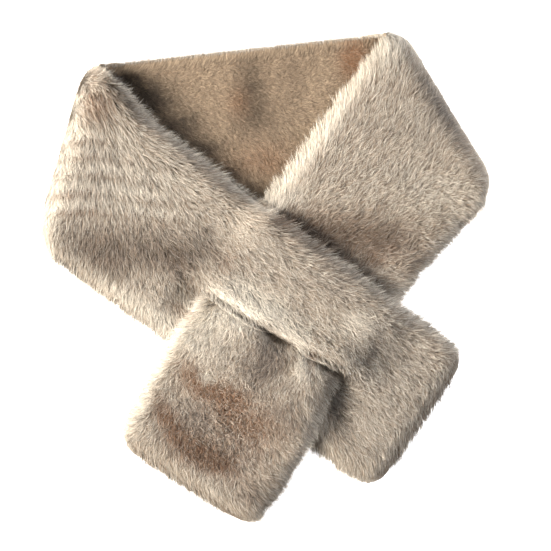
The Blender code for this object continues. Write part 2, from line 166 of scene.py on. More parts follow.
# The sewn ends with the radius of their corners, and the slit in the left arm.
LEFT_ARM_END = 141.5
LEFT_CORNER = 16
RIGHT_TAIL_END = 155.5
RIGHT_CORNER = 13
SLIT_START = -88
SLIT_END = 90
SLIT_EASE = 16
SLIT_WIDTH = 1
SLIT_OPENING = 8
# Edges of the two arms: (station, upper edge, lower edge).
LEFT_EDGES = np.array((
    (-260, -64, 70.5), (-120, -63.5, 72.5), (-40, -64, 70.5), (60, -65, 70.5), (110, -66.5, 70.5),
    (142, -65.5, 69)))
RIGHT_EDGES = np.array((
    (-260, -67, 75), (-160, -67, 76), (-120, -66.5, 72.5), (-60, -67, 69), (-20, -66.5, 69), (20, -62.5, 68),
    (75, -59.5, 80), (113, -54.5, 84), (156, -47, 84.5)))
# The pelt stops short of the outline and rounds off over a width there and over another at the slit's lips;
# its packed roots fill a share of the pile.
PELT_INSET = 8
PELT_ROUND = 13
PELT_LIP_ROUND = 9
ROOT_SHARE = 0.55


def ramp(value, start, end):
    """Smooth step: with s = (value - start)/(end - start) held in 0..1, s^2 (3 - 2s)."""
    share = np.clip((value - start) / (end - start), 0, 1)
    return share * share * (3 - 2 * share)


def window(value, rise, full, fade, gone):
    """Smooth window: the step from rise to full, times one less the step from fade to gone."""
    return ramp(value, rise, full) * (1 - ramp(value, fade, gone))


def spot(x, y, wide, high):
    """Soft spot: exp(-(x/wide)^2 - (y/high)^2)."""
    return np.exp(-(x / wide) ** 2 - (y / high) ** 2)


def dome(distance, width):
    """Quarter round: sqrt(1 - (1 - distance/width)^2), 1 beyond the width."""
    share = 1 - np.clip(distance / width, 0, 1)
    return np.sqrt(1 - share * share)


def table(rows, column, value):
    """Cubic Hermite curve through one column of a table of places."""
    places, heights = rows[:, 0], rows[:, column]
    slopes = np.gradient(heights, places)
    index = np.clip(np.searchsorted(places, value) - 1, 0, len(places) - 2)
    step = places[index + 1] - places[index]
    share = np.clip((value - places[index]) / step, 0, 1)
    level = heights[index] + (heights[index + 1] - heights[index]) * share * share * (3 - 2 * share)
    return level + step * share * (1 - share) * (slopes[index] * (1 - share) - slopes[index + 1] * share)


def lip_across(along):
    """Place of the slit's upper lip: from 20.5 to 3 mm, falling with the square of the way along."""
    share = np.clip((along + 66) / 132, 0, 1)
    return 20.5 - 17.5 * share * share


def slit_opening(along):
    """1 where the slit is open, easing to 0 at each end."""
    return window(along, SLIT_START, SLIT_START + SLIT_EASE, SLIT_END - SLIT_EASE, SLIT_END)


def slit_gape(along):
    """Distance between the lips: a slit's width at the ends, 8 mm where the tail passes."""
    return slit_opening(along) * (SLIT_WIDTH + (SLIT_OPENING - SLIT_WIDTH) * window(along, -68, -44, 46, 72))


def neck_height(along, across, upper_strand):
    """Height the neck gives to the arms on it: its own 14.7 mm, falling over 47 mm past its front edge."""
    corner = LEFT_FOLD[1]
    beyond = (along - corner[0]) * -NECK_RUN[1] + (across - corner[1]) * NECK_RUN[0]
    return (FUR_UNDER_NECK + PLUSH + REST_GAP) * (1 - ramp(beyond, -3, 44))


def tail_rise(along, across):
    """Climb of the right end through the slit on to the lower strand, and its fall past that."""
    climb = ramp(across - lip_across(along), -28, 15)
    return (PLUSH + FUR_PRESSED + REST_GAP) * climb * (1 - ramp(across, 58, 98))


def right_support(along, across, upper_strand):
    """What the right arm and tail lie on: the neck's height plus the climb through the slit."""
    return neck_height(along, across, upper_strand) + tail_rise(along, across)


def left_support(along, across, upper_strand):
    """What the left arm lies on: the neck, and for the upper strand the right arm beneath it."""
    stack = PLUSH + FUR_PRESSED + STRAND_GAP + tail_rise(along, across)
    return neck_height(along, across, upper_strand) + upper_strand * window(along, -80, -50, 52, 98) * stack


def right_fur(along, across, upper_strand):
    """Pile height of the right arm and tail: 7 mm under the strand, full and gathered below the lip.

    Past the lip: 10 mm more where it fills the slit's left part, 7 mm at 37 mm along, 4 mm between,
    a 3 mm hollow between the two, and a 3 mm ridge running on down the tail.
    """
    past = across - lip_across(along)
    under = ramp(across, -97, -76) * (1 - ramp(past, -1, 15))
    heaps = 10 * window(along, -66, -44, -10, 14) + 7 * window(along, 22, 34, 40, 56)
    full = np.maximum(heaps, 4 * window(along, -66, -44, 40, 56))
    full = full * ramp(past, -1, 0.8) * np.exp(-(np.maximum(past - 4, 0) / 14) ** 2)
    hollow = 3 * spot(along - 17, across - 21, 11, 12)
    run = (along - 36) * 0.81 + (across - 24) * 0.58
    side = (across - 24) * 0.81 - (along - 36) * 0.58
    ridge = 3 * ramp(past, -1, 4) * spot(run, side, 18, 6)
    return FUR_FREE - (FUR_FREE - FUR_PRESSED) * under + full + ridge - hollow


def left_fur(along, across, upper_strand):
    """Pile height of the left arm: 7 mm where the tail lies on the lower strand, more by the slit's end."""
    past = across - lip_across(along)
    covered = window(along, -88, -68, 86, 104) * np.maximum(ramp(past, 0, 12), slit_opening(along))
    pressed = (FUR_FREE - FUR_PRESSED) * (1 - upper_strand) * covered
    beside = 9 * window(along, 60, 72, 84, 98) * np.exp(-(past / 9) ** 2)
    return np.minimum(FUR_FREE - pressed + beside * (1 - upper_strand), FUR_FREE)


def neck_fur(along, across, upper_strand):
    """Pile height below the neck: pressed to 10 mm by what lies on it."""
    return FUR_UNDER_NECK + np.zeros_like(along)


# Columns of a stretch's rows after the two ends of each line: turn round the fold, how far it has settled,
# distance from the sewn end (999 and more where there is none), place and width of the slit, how open it is.
TURN, SETTLE, END, LIP, GAPE, OPEN = range(4, 10)
NO_END = 999


class Stretch:
    """Lines across one stretch of the strip, a row each, from its upper to its lower edge."""

    def __init__(self, upper, lower, outward, turn, settle, end, support, fur, slit=None):
        self.split = slit is not None
        slit = slit if self.split else np.zeros((len(turn), 3))
        self.rows = np.column_stack((upper, lower, turn, settle, end, slit))
        self.outward, self.support, self.fur = outward, support, fur

    def at(self, row):
        """The lines at fractional row numbers, by straight interpolation."""
        index = np.clip(row.astype(int), 0, len(self.rows) - 2)
        share = (row - index)[:, None]
        made = copy.copy(self)
        made.rows = self.rows[index] * (1 - share) + self.rows[index + 1] * share
        return made

    def column(self, number):
        """One column of the rows, kept two-dimensional."""
        return self.rows[:, number:number + 1]

    def length(self):
        """Width of the strip along each line."""
        return np.linalg.norm(self.rows[:, 2:4] - self.rows[:, :2], axis=1, keepdims=True)

    def plan(self, reach):
        """Plan points at distances from the upper edge along each line."""
        share = (reach / self.length())[:, :, None]
        return self.rows[:, None, :2] * (1 - share) + self.rows[:, None, 2:4] * share

    def pile(self, plan, upper_strand):
        """Pile height at plan points: the stretch's own, turning into the neck's 10 mm round a fold."""
        free = self.fur(plan[:, :, 0], plan[:, :, 1], upper_strand)
        neck_like = 1 - self.column(TURN) / math.pi
        return free + (FUR_UNDER_NECK - free) * neck_like

    def place(self, plan, offset, upper_strand):
        """World points at an offset from the seam: moved by offset (outward sin(turn), -cos(turn))."""
        turn = self.column(TURN)
        bend = FUR_UNDER_NECK + FOLD_RADIUS * (1 - np.cos(turn))
        rest = PLUSH + self.support(plan[:, :, 0], plan[:, :, 1], upper_strand)
        middle = bend + (rest - bend) * self.column(SETTLE)
        moved = plan + self.outward * (np.sin(turn) * offset)[:, :, None]
        flat = CROSSING + moved[:, :, :1] * ALONG + moved[:, :, 1:] * ACROSS
        height = middle - np.cos(turn) * offset
        return np.concatenate((flat, height[:, :, None]), axis=2)


def fold_outward(fold, run):
    """Unit normal of a fold's outline, pointing away from where the strip runs."""
    line = fold[1] - fold[0]
    normal = np.array((line[1], -line[0])) / np.linalg.norm(line)
    return normal if normal @ run < 0 else -normal


def fold_line(fold, run, inset):
    """Ends of lines parallel to a fold's outline at the given insets, along the strip's own direction."""
    step = -run * (np.atleast_1d(inset) / (fold_outward(fold, run) @ run))[:, None]
    return fold[0] + step, fold[1] + step


def fold_middle(fold, axis):
    """Mean station of a fold's first line along one axis, and half the difference between its ends."""
    upper, lower = fold_line(fold, np.eye(2)[axis], FOLD_INSET)
    return 0.5 * (upper[0, axis] + lower[0, axis]), 0.5 * (lower[0, axis] - upper[0, axis])


def fold_stretch(fold, neck_run, stations, line, mean, end, support, fur, slit_of=None):
    """A stretch that begins beneath the neck, turns half round at its fold and runs on over the stations."""
    outward = fold_outward(fold, neck_run)
    neck_upper, neck_lower = fold_line(fold, neck_run, UNDER_INSETS)
    start_upper, start_lower = fold_line(fold, neck_run, FOLD_INSET)
    first_upper, first_lower = line(np.array((mean,)))
    turn = np.linspace(0, math.pi, TURN_LINES)
    share = (turn / math.pi)[:, None]
    shift = outward * FOLD_RADIUS * np.sin(turn)[:, None]
    upper = start_upper + (first_upper - start_upper) * share + shift
    lower = start_lower + (first_lower - start_lower) * share + shift
    side = (lower - upper) / np.linalg.norm(lower - upper, axis=1)[:, None]
    side = side * CORNER_FAN * np.sin(turn)[:, None]
    high, low = line(stations)
    upper = np.concatenate((neck_upper, upper - side, high))
    lower = np.concatenate((neck_lower, lower + side, low))
    turns = np.concatenate((np.zeros(len(UNDER_INSETS)), turn, np.full(len(stations), math.pi)))
    before = len(UNDER_INSETS) + TURN_LINES
    settle = np.concatenate((np.zeros(before), ramp(stations, mean, mean + FOLD_SETTLE - FOLD_INSET)))
    ends = np.concatenate((np.full(before, NO_END), end - stations))
    slit = None if slit_of is None else slit_of(upper, lower, turns)
    return Stretch(upper, lower, outward, turns, settle, ends, support, fur, slit)


def corner_inset(end_distance, radius):
    """Draw-in of a round corner: radius - sqrt(radius^2 - (radius - distance)^2)."""
    left = np.clip(radius - end_distance, 0, radius)
    return radius - np.sqrt(radius * radius - left * left)


def left_arm(end_steps):
    """The left arm: its fold, then lines to the given distances from its end, with the slit.

    Its upper edge starts 12 mm outside the table's at the fold and comes in to it over 48 mm.
    """
    mean, skew = fold_middle(LEFT_FOLD, 0)

    def line(station):
        """Ends of lines at stations: slanted near the fold and a little near the end, corners drawn in."""
        slant = skew * (1 - np.clip((station - mean) / (SLIT_START - mean), 0, 1))
        slant = slant + 2 * ramp(station, SLIT_END, LEFT_ARM_END)
        lift = 12 * (1 - ramp(station, mean, mean + 48))
        inset = corner_inset(LEFT_ARM_END - station, LEFT_CORNER)
        high = np.stack((station - slant, table(LEFT_EDGES, 1, station) - lift + inset), axis=1)
        low = np.stack((station + slant, table(LEFT_EDGES, 2, station) - inset), axis=1)
        return high, low

    def slit_of(upper, lower, turns):
        """Place, width and openness of the slit on each line, closed round the fold."""
        along = 0.5 * (upper[:, 0] + lower[:, 0])
        flat = turns > 3
        lip = lip_across(along) - upper[:, 1]
        return np.stack((lip, slit_gape(along) * flat, slit_opening(along) * flat), axis=1)

    stations = np.concatenate((
        np.linspace(mean, SLIT_START, 28)[1:], np.linspace(SLIT_START, SLIT_END, 46)[1:],
        LEFT_ARM_END - np.array(end_steps)))
    return fold_stretch(LEFT_FOLD, NECK_RUN, stations, line, mean, LEFT_ARM_END,
                        left_support, left_fur, slit_of)


def right_line(mean, skew):
    """Lines across the right arm and tail: slanted near the fold, drawn in at the corners of the end."""
    def line(station):
        """Ends of lines at stations."""
        slant = skew * (1 - np.clip((station - mean) / (-60 - mean), 0, 1))
        slant = slant - 4 * ramp(station, RIGHT_TAIL_END - 55, RIGHT_TAIL_END)
        inset = corner_inset(RIGHT_TAIL_END - station, RIGHT_CORNER)
        high = np.stack((table(RIGHT_EDGES, 1, station - slant) + inset, station - slant), axis=1)
        low = np.stack((table(RIGHT_EDGES, 2, station + slant) - inset, station + slant), axis=1)
        return high, low
    return line


def right_arm():
    """The right arm: its fold, then lines down to where it lies hidden beneath the upper strand."""
    mean, skew = fold_middle(RIGHT_FOLD, 1)
    stations = np.linspace(mean, -20.3, 44)[1:]
    return fold_stretch(RIGHT_FOLD, -NECK_RUN, stations, right_line(mean, skew), mean, NO_END,
                        right_support, right_fur)


def right_tail(end_steps):
    """The right tail: lines from beneath the upper strand up through the slit to the tip."""
    stations = np.concatenate((np.linspace(-20, 118, 40), RIGHT_TAIL_END - np.array(end_steps)))
    high, low = right_line(-300, 0)(stations)
    rows = len(stations)
    return Stretch(high, low, np.zeros(2), np.full(rows, math.pi), np.ones(rows),
                   RIGHT_TAIL_END - stations, right_support, right_fur)


def neck(inset):
    """The neck: even lines between lines at an inset from the two folds' outlines, its plush side up."""
    left_upper, left_lower = fold_line(LEFT_FOLD, NECK_RUN, inset)
    right_upper, right_lower = fold_line(RIGHT_FOLD, -NECK_RUN, inset)
    share = np.linspace(0, 1, NECK_LINES)[:, None]
    upper = left_upper + (right_upper - left_upper) * share
    lower = left_lower + (right_lower - left_lower) * share
    flat = np.zeros(NECK_LINES)
    return Stretch(upper, lower, np.zeros(2), flat, flat, flat + NO_END, neck_height, neck_fur)


def rim_share(stretch, reach, inset, round_width, lip_width, upper_strand, groove=1):
    """Rise of a panel from its rim: product of quarter rounds at its edges, its end and an open lip."""
    edge = np.minimum(reach, stretch.length() - reach) - inset
    rise = dome(edge, round_width) * dome(stretch.column(END) - inset, round_width)
    if stretch.split:
        lip = stretch.column(LIP)
        distance = np.where(upper_strand > 0.5, lip - reach, reach - lip - stretch.column(GAPE))
        lip_rise = dome(np.maximum(distance, 0), lip_width)
        rise = rise * (1 - groove * stretch.column(OPEN) * (1 - lip_rise))
    return rise


def root_points(stretch, reach, upper_strand):
    """The pelt's upper face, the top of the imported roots: 0.5 + (0.55 pile - 0.5) x rise above the seam."""
    plan = stretch.plan(reach)
    rise = rim_share(stretch, reach, PELT_INSET, PELT_ROUND, PELT_LIP_ROUND, upper_strand)
    offset = 0.5 + (ROOT_SHARE * stretch.pile(plan, upper_strand) - 0.5) * rise
    return stretch.place(plan, offset, upper_strand)


def edge_steps(width, count):
    """Distances from an edge, close together at the edge: width (1 - cos(a)) for a from 0 to 90 degrees."""
    return width * (1 - np.cos(np.linspace(0, math.pi / 2, count)))


def block_columns(first, last, first_width, last_width, edge_count, middle_count):
    """Columns from the first to the last distance, closer within the round of each edge."""
    head = first + edge_steps(first_width, edge_count)[None, :]
    foot = last - edge_steps(last_width, edge_count)[None, ::-1]
    share = np.linspace(0, 1, middle_count + 2)[1:-1][None, :]
    return np.concatenate((head, head[:, -1:] + (foot[:, :1] - head[:, -1:]) * share, foot), axis=1)


def panel_columns(stretch, inset, lip_inset, edge_width, lip_width, edge_count, counts):
    """Columns of a panel with a mark for those of the upper strand, and how many those are."""
    first = inset + np.zeros_like(stretch.length())
    last = stretch.length() - inset
    if not stretch.split:
        reach = block_columns(first, last, edge_width, edge_width, edge_count, sum(counts))
        return reach, np.zeros_like(reach), 0
    lip, gape = stretch.column(LIP), stretch.column(GAPE)
    back = lip_inset * np.clip(stretch.column(OPEN) / 0.25, 0, 1) * np.clip((gape - 1) / 3, 0.08, 1)
    upper = block_columns(first, lip - back, edge_width, lip_width, edge_count, counts[0])
    lower = block_columns(lip + gape + back, last, lip_width, edge_width, edge_count, counts[1])
    strand = np.concatenate((np.ones_like(upper), np.zeros_like(lower)), axis=1)
    return np.concatenate((upper, lower), axis=1), strand, upper.shape[1]


def dress(name, mesh, material):
    """Put a mesh with its material into the scene as one piece of the wrap."""
    mesh.materials.append(material)
    piece = bpy.data.objects.new(name, mesh)
    bpy.context.scene.collection.objects.link(piece)
    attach(piece, "root")
    return piece


def shell(name, top, bottom, lip_column, opening, material, node):
    """One closed piece from an upper and a lower point grid, joined by walls round its edges and its slit.

    Outside the open rows the two lip columns share their points.
    """
    rows, total = top.shape[:2]
    keep = np.ones((rows, total), dtype=bool)
    if lip_column:
        keep[:, lip_column] = opening > 0
    count = int(keep.sum())
    numbers = np.zeros((rows, total), dtype=int)
    numbers[keep] = np.arange(count)
    if lip_column:
        closed = opening <= 0
        numbers[closed, lip_column] = numbers[closed, lip_column - 1]
    points = np.concatenate((top[keep], bottom[keep]))
    cells = np.stack((numbers[:-1, :-1], numbers[:-1, 1:], numbers[1:, 1:], numbers[1:, :-1]), axis=2)
    used = np.arange(total - 1) != lip_column - 1
    face = cells[:, used].reshape(-1, 4)
    ends = np.arange(total)
    rims = [numbers[:, 0][::-1], numbers[:, -1]]
    if lip_column:
        ends = np.delete(ends, lip_column)
        open_rows = np.flatnonzero(opening > 0)
        span = np.arange(open_rows[0] - 1, open_rows[-1] + 2)
        rims += [numbers[span, lip_column - 1], numbers[span, lip_column][::-1]]
    rims += [numbers[0, ends], numbers[-1, ends][::-1]]
    walls = [np.stack((rim[1:], rim[1:] + count, rim[:-1] + count, rim[:-1]), axis=1) for rim in rims]
    quads = np.concatenate([face, face[:, ::-1] + count] + walls)
    corner = points[quads]
    facing = np.cross(corner[:, 1], corner[:, 2]) + np.cross(corner[:, 2], corner[:, 3])
    if np.sum(corner[:, 0] * facing) < 0:
        quads = quads[:, ::-1]
    mesh = bpy.data.meshes.new(name)
    mesh.from_pydata((points * 0.001).tolist(), [], quads.tolist())
    mesh.polygons.foreach_set("use_smooth", np.ones(len(quads), dtype=bool))
    piece = dress(name, mesh, material)
    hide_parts(node)
    return piece


# Knitted backing with the imported roots of the pile, seen only between the locks: matt and dark, partly
# the roots' own taupe and partly painted shade, so that the pile above it reads as deep.
backing, tree = new_material("roots of the fur")
place = add_node(tree, "ShaderNodeTexCoord")
patch = add_node(tree, "ShaderNodeTexNoise", {"Scale": 60, "Detail": 3}, {"Vector": place.outputs["Object"]})
shades = add_node(tree, "ShaderNodeValToRGB", None, {"Fac": patch.outputs["Fac"]})
shades.color_ramp.elements[0].color = linear("#6B5849")
shades.color_ramp.elements[1].color = linear("#8B7867")
add_surface(tree, {"Roughness": 0.95}, {"Base Color": shades.outputs["Color"]})

PELT_END_STEPS = (24, 20, 16.5, 13.5, 11, 9.4, 8.4, PELT_INSET)
for name, stretch, node in (
        ("left_arm_pelt", left_arm(PELT_END_STEPS), "left_arm_outer"),
        ("right_arm_pelt", right_arm(), "right_arm_outer"),
        ("right_tail_pelt", right_tail(PELT_END_STEPS), "right_tail_outer"),
        ("neck_pelt", neck(NECK_END_INSET), "neck_outer")):
    reach, strand, lip_column = panel_columns(stretch, PELT_INSET, lip_inset=2.5, edge_width=PELT_ROUND,
                                              lip_width=7, edge_count=7, counts=(12, 7))
    under = stretch.place(stretch.plan(reach), np.full(reach.shape, SEAM_GAP + 0.1), strand)
    shell(name, root_points(stretch, reach, strand), under, lip_column,
                        stretch.rows[:, OPEN], backing, node)


# ---------------------------------------------------------------------------
# Plush side: the inner panel, a short tan plush sewn to the fur along its
# edges. It shows on the neck, where the strip lies with its inner side up.
PLUSH_INSET = 7
PLUSH_ROUND = 5
PLUSH_GROUND = 0.55


def plush_points(stretch, reach, upper_strand, share):
    """A surface in the plush, at a share of its depth: (1.5 + 2.5 x rise) x share below the seam."""
    rise = rim_share(stretch, reach, PLUSH_INSET, PLUSH_ROUND, PLUSH_ROUND, upper_strand)
    return stretch.place(stretch.plan(reach), -share * (1.5 + (PLUSH - 1.5) * rise), upper_strand)


def mix(tree, factor, *ends):
    """Blend two ends, each an sRGB hex colour or the output of a node, by a factor."""
    settings = {"data_type": "RGBA"}
    links = {0: factor}
    for number, end in zip((6, 7), ends):
        if isinstance(end, str):
            settings[number] = linear(end)
        else:
            links[number] = end
    return add_node(tree, "ShaderNodeMix", settings, links).outputs[2]


# Short plush: tan, with a soft brushed sheen; faint streaks from the brush come from noise in
# millimetre scale, and broad brown-grey blotches and a painted shadow along the left arm's edge
# come from the tones written on its points.
plush, tree = new_material("short tan plush")
place = add_node(tree, "ShaderNodeTexCoord")
turned = add_node(tree, "ShaderNodeMapping", {"Scale": (60, 420, 420), "Rotation": (0, 0, 0.12)},
                  {"Vector": place.outputs["Object"]})
streaks = add_node(tree, "ShaderNodeTexNoise", {"Scale": 1, "Detail": 4, "Roughness": 0.6},
                   {"Vector": turned.outputs["Vector"]})
tone = add_node(tree, "ShaderNodeAttribute", {"attribute_name": "plush tone"})
split_tone = add_node(tree, "ShaderNodeSeparateColor", None, {"Color": tone.outputs["Color"]})
shaded = mix(tree, split_tone.outputs["Red"], "#C4A586", "#86705A")
shaded = mix(tree, split_tone.outputs["Green"], shaded, "#C08C66")
# Blue: painted shadow, towards near-black brown where the left arm's upper edge shades the neck.
shaded = mix(tree, split_tone.outputs["Blue"], shaded, "#43372C")
streaked = add_node(tree, "ShaderNodeMix", {"data_type": "RGBA", "blend_type": "OVERLAY", 0: 0.22},
                    {6: shaded, 7: streaks.outputs["Fac"]})
bump = add_node(tree, "ShaderNodeBump", {"Strength": 0.35, "Distance": 0.0006},
                {"Height": streaks.outputs["Fac"]})
add_surface(tree, {"Roughness": 0.9, "Sheen Weight": 0.35, "Sheen Roughness": 0.5},
            {"Base Color": streaked.outputs[2], "Normal": bump.outputs["Normal"]})

# Blotches of the plush, and a painted shadow where the left arm's upper edge shades the neck
# (x, y, half width, half height in millimetres, brown-grey, orange-tan, dark).
PLUSH_PATCHES = np.array((
    (-10, 152, 11, 26, 0.8, 0, 0.1), (-6, 126, 17, 18, 0.5, 0, 0), (-20, 140, 9, 12, 0, 0.35, 0),
    (24, 158, 10, 22, 0.3, 0, 0), (2, 92, 26, 14, -0.1, 0.4, 0), (48, 148, 17, 34, -0.15, 0, 0),
    # From (-112, 156) on, the rows are the painted shadow along the left arm's edge: brown-grey and dark.
    (72, 176, 11, 18, 0.2, 0.85, 0), (-112, 156, 14, 8, 0.6, 0, 0.8), (-90, 142, 19, 12, 0.6, 0, 0.85),
    (-66, 121, 17, 12, 0.55, 0, 0.66), (-46, 102, 15, 9, 0.45, 0, 0.48), (-26, 84, 13, 8, 0.4, 0, 0.36),
    (-8, 69, 10, 6, 0.4, 0, 0.32)))


def plush_tone(x, y):
    """Grey, orange and darkening shares, the last mostly painted shadow: sums of strength x soft spot over
    the table.
    """
    shares = np.zeros((3, len(x)))
    for spot_x, spot_y, wide, high, *strengths in PLUSH_PATCHES:
        shares += np.array(strengths)[:, None] * spot(x - spot_x, y - spot_y, wide, high)
    return np.clip(shares, np.array((-0.5, 0, 0))[:, None], 1)


def set_colour(mesh, name, values):
    """Write an (n, 4) array to a point colour attribute."""
    attribute = mesh.attributes.new(name, "FLOAT_COLOR", "POINT")
    attribute.data.foreach_set("color", values.astype(np.float32).ravel())


PLUSH_END_STEPS = (24, 18, 13.5, 11, 9.2, 8, 7.3, PLUSH_INSET)
for name, stretch, node in (
        ("left_arm_plush", left_arm(PLUSH_END_STEPS), "left_arm_inner"),
        ("right_arm_plush", right_arm(), "right_arm_inner"),
        ("right_tail_plush", right_tail(PLUSH_END_STEPS), "right_tail_inner"),
        ("neck_plush", neck(NECK_END_INSET), "neck_inner")):
    reach, strand, lip_column = panel_columns(stretch, PLUSH_INSET, lip_inset=4, edge_width=PLUSH_ROUND,
                                              lip_width=PLUSH_ROUND, edge_count=5, counts=(14, 8))
    back = stretch.place(stretch.plan(reach), np.full(reach.shape, -SEAM_GAP), strand)
    ground = plush_points(stretch, reach, strand, PLUSH_GROUND)
    piece = shell(name, ground, back, lip_column, stretch.rows[:, OPEN], plush, node)
    places = np.empty(len(piece.data.vertices) * 3)
    piece.data.vertices.foreach_get("co", places)
    x, y = places.reshape(-1, 3).T[:2] * 1000
    grey, orange, dark_tone_and_painted_shade = plush_tone(x, y) * float(name == "neck_plush")
    # The painted shadow darkens the plush twice: into the brown-grey (first channel) and towards near-black
    # (third).
    tones = (np.minimum(grey + dark_tone_and_painted_shade, 1), orange, dark_tone_and_painted_shade, np.ones_like(x))
    set_colour(piece.data, "plush tone", np.stack(tones, axis=1))


# ---------------------------------------------------------------------------
# Long pile: the fur itself, acrylic strands 10 to 16 mm long on the backing,
# leaning over and fanning out past every edge. Each is a tapered blade; they
# gather in small locks, with cream tips over taupe.
PILE_ROUND = 21
PILE_LIP_ROUND = 10
CROSSING_DROOP = 6
FOLD_CLOSE = 3.8


def tip_points(stretch, reach, upper_strand):
    """The surface of the pile's tips: rim + (4 + pile - rim) x rise, less the plush's 4 mm.

    Where the lips touch, their pile closes over the slit and leaves a third of the groove. At the crossing
    the left arm's pile hangs 6 mm lower over its upper edge. Round a fold the rim turns in by 3.8 mm, so that
    the pile closes the end of the roll.
    """
    plan = stretch.plan(reach)
    groove = np.clip((stretch.column(GAPE) - 3) / 4, 0.33, 1)
    rise = rim_share(stretch, reach, 0, PILE_ROUND, PILE_LIP_ROUND, upper_strand, groove)
    turn = stretch.column(TURN)
    rim = 3.6 - turn / math.pi - FOLD_CLOSE * np.sin(turn)
    if stretch.split:
        droop = CROSSING_DROOP * window(plan[:, :, 0], -104, -88, -62, -50)
        rim = rim - droop * (reach < 0.5 * stretch.length())
    offset = rim + (PLUSH + stretch.pile(plan, upper_strand) - rim) * rise - PLUSH
    return stretch.place(plan, offset, upper_strand)


# Which way the pile leans, at places on each stretch (along, across, degrees from +X).
LEFT_LAY = np.array((
    (-240, -60, -100), (-205, 0, -112), (-190, 60, -128),
    (-190, -60, -30), (-150, 0, -84), (-140, 65, -116),
    (-120, -60, -26), (-95, 0, -56), (-100, 60, -84),
    (0, -60, -30), (0, 0, -47), (0, 60, -70),
    (90, -60, -34), (90, 0, -48), (90, 65, -60),
    (140, -60, -24), (140, 0, -44), (135, 65, -62),
))
ARM_LAY = np.array((
    (-64, -220, 108), (0, -215, 70), (60, -195, 36),
    (-66, -160, 68), (0, -150, 52), (74, -160, 4),
    (-66, -80, 66), (0, -90, 34), (40, -125, 20), (68, -90, 36),
))
TAIL_LAY = np.array((
    (-64, 10, -108), (-20, 20, -100), (14, 34, -126), (38, 24, -108), (68, 10, -20),
    (-58, 80, -112), (0, 70, -128), (42, 62, -96), (80, 60, -16),
    (-54, 140, -140), (10, 120, -118), (84, 120, -34), (80, 150, -70), (20, 154, -112),
))


def lay_direction(rows, plan, reach):
    """World direction at plan points: unit vectors of the rows, weighted by 1/(distance^2 + reach^2)^2."""
    total = np.zeros_like(plan)
    for along, across, degrees in rows:
        weight = 1 / ((plan[:, 0] - along) ** 2 + (plan[:, 1] - across) ** 2 + reach * reach) ** 2
        heading = math.radians(degrees)
        total += weight[:, None] * np.array((math.cos(heading), math.sin(heading)))
    return total / (np.linalg.norm(total, axis=1, keepdims=True) + 1e-12)
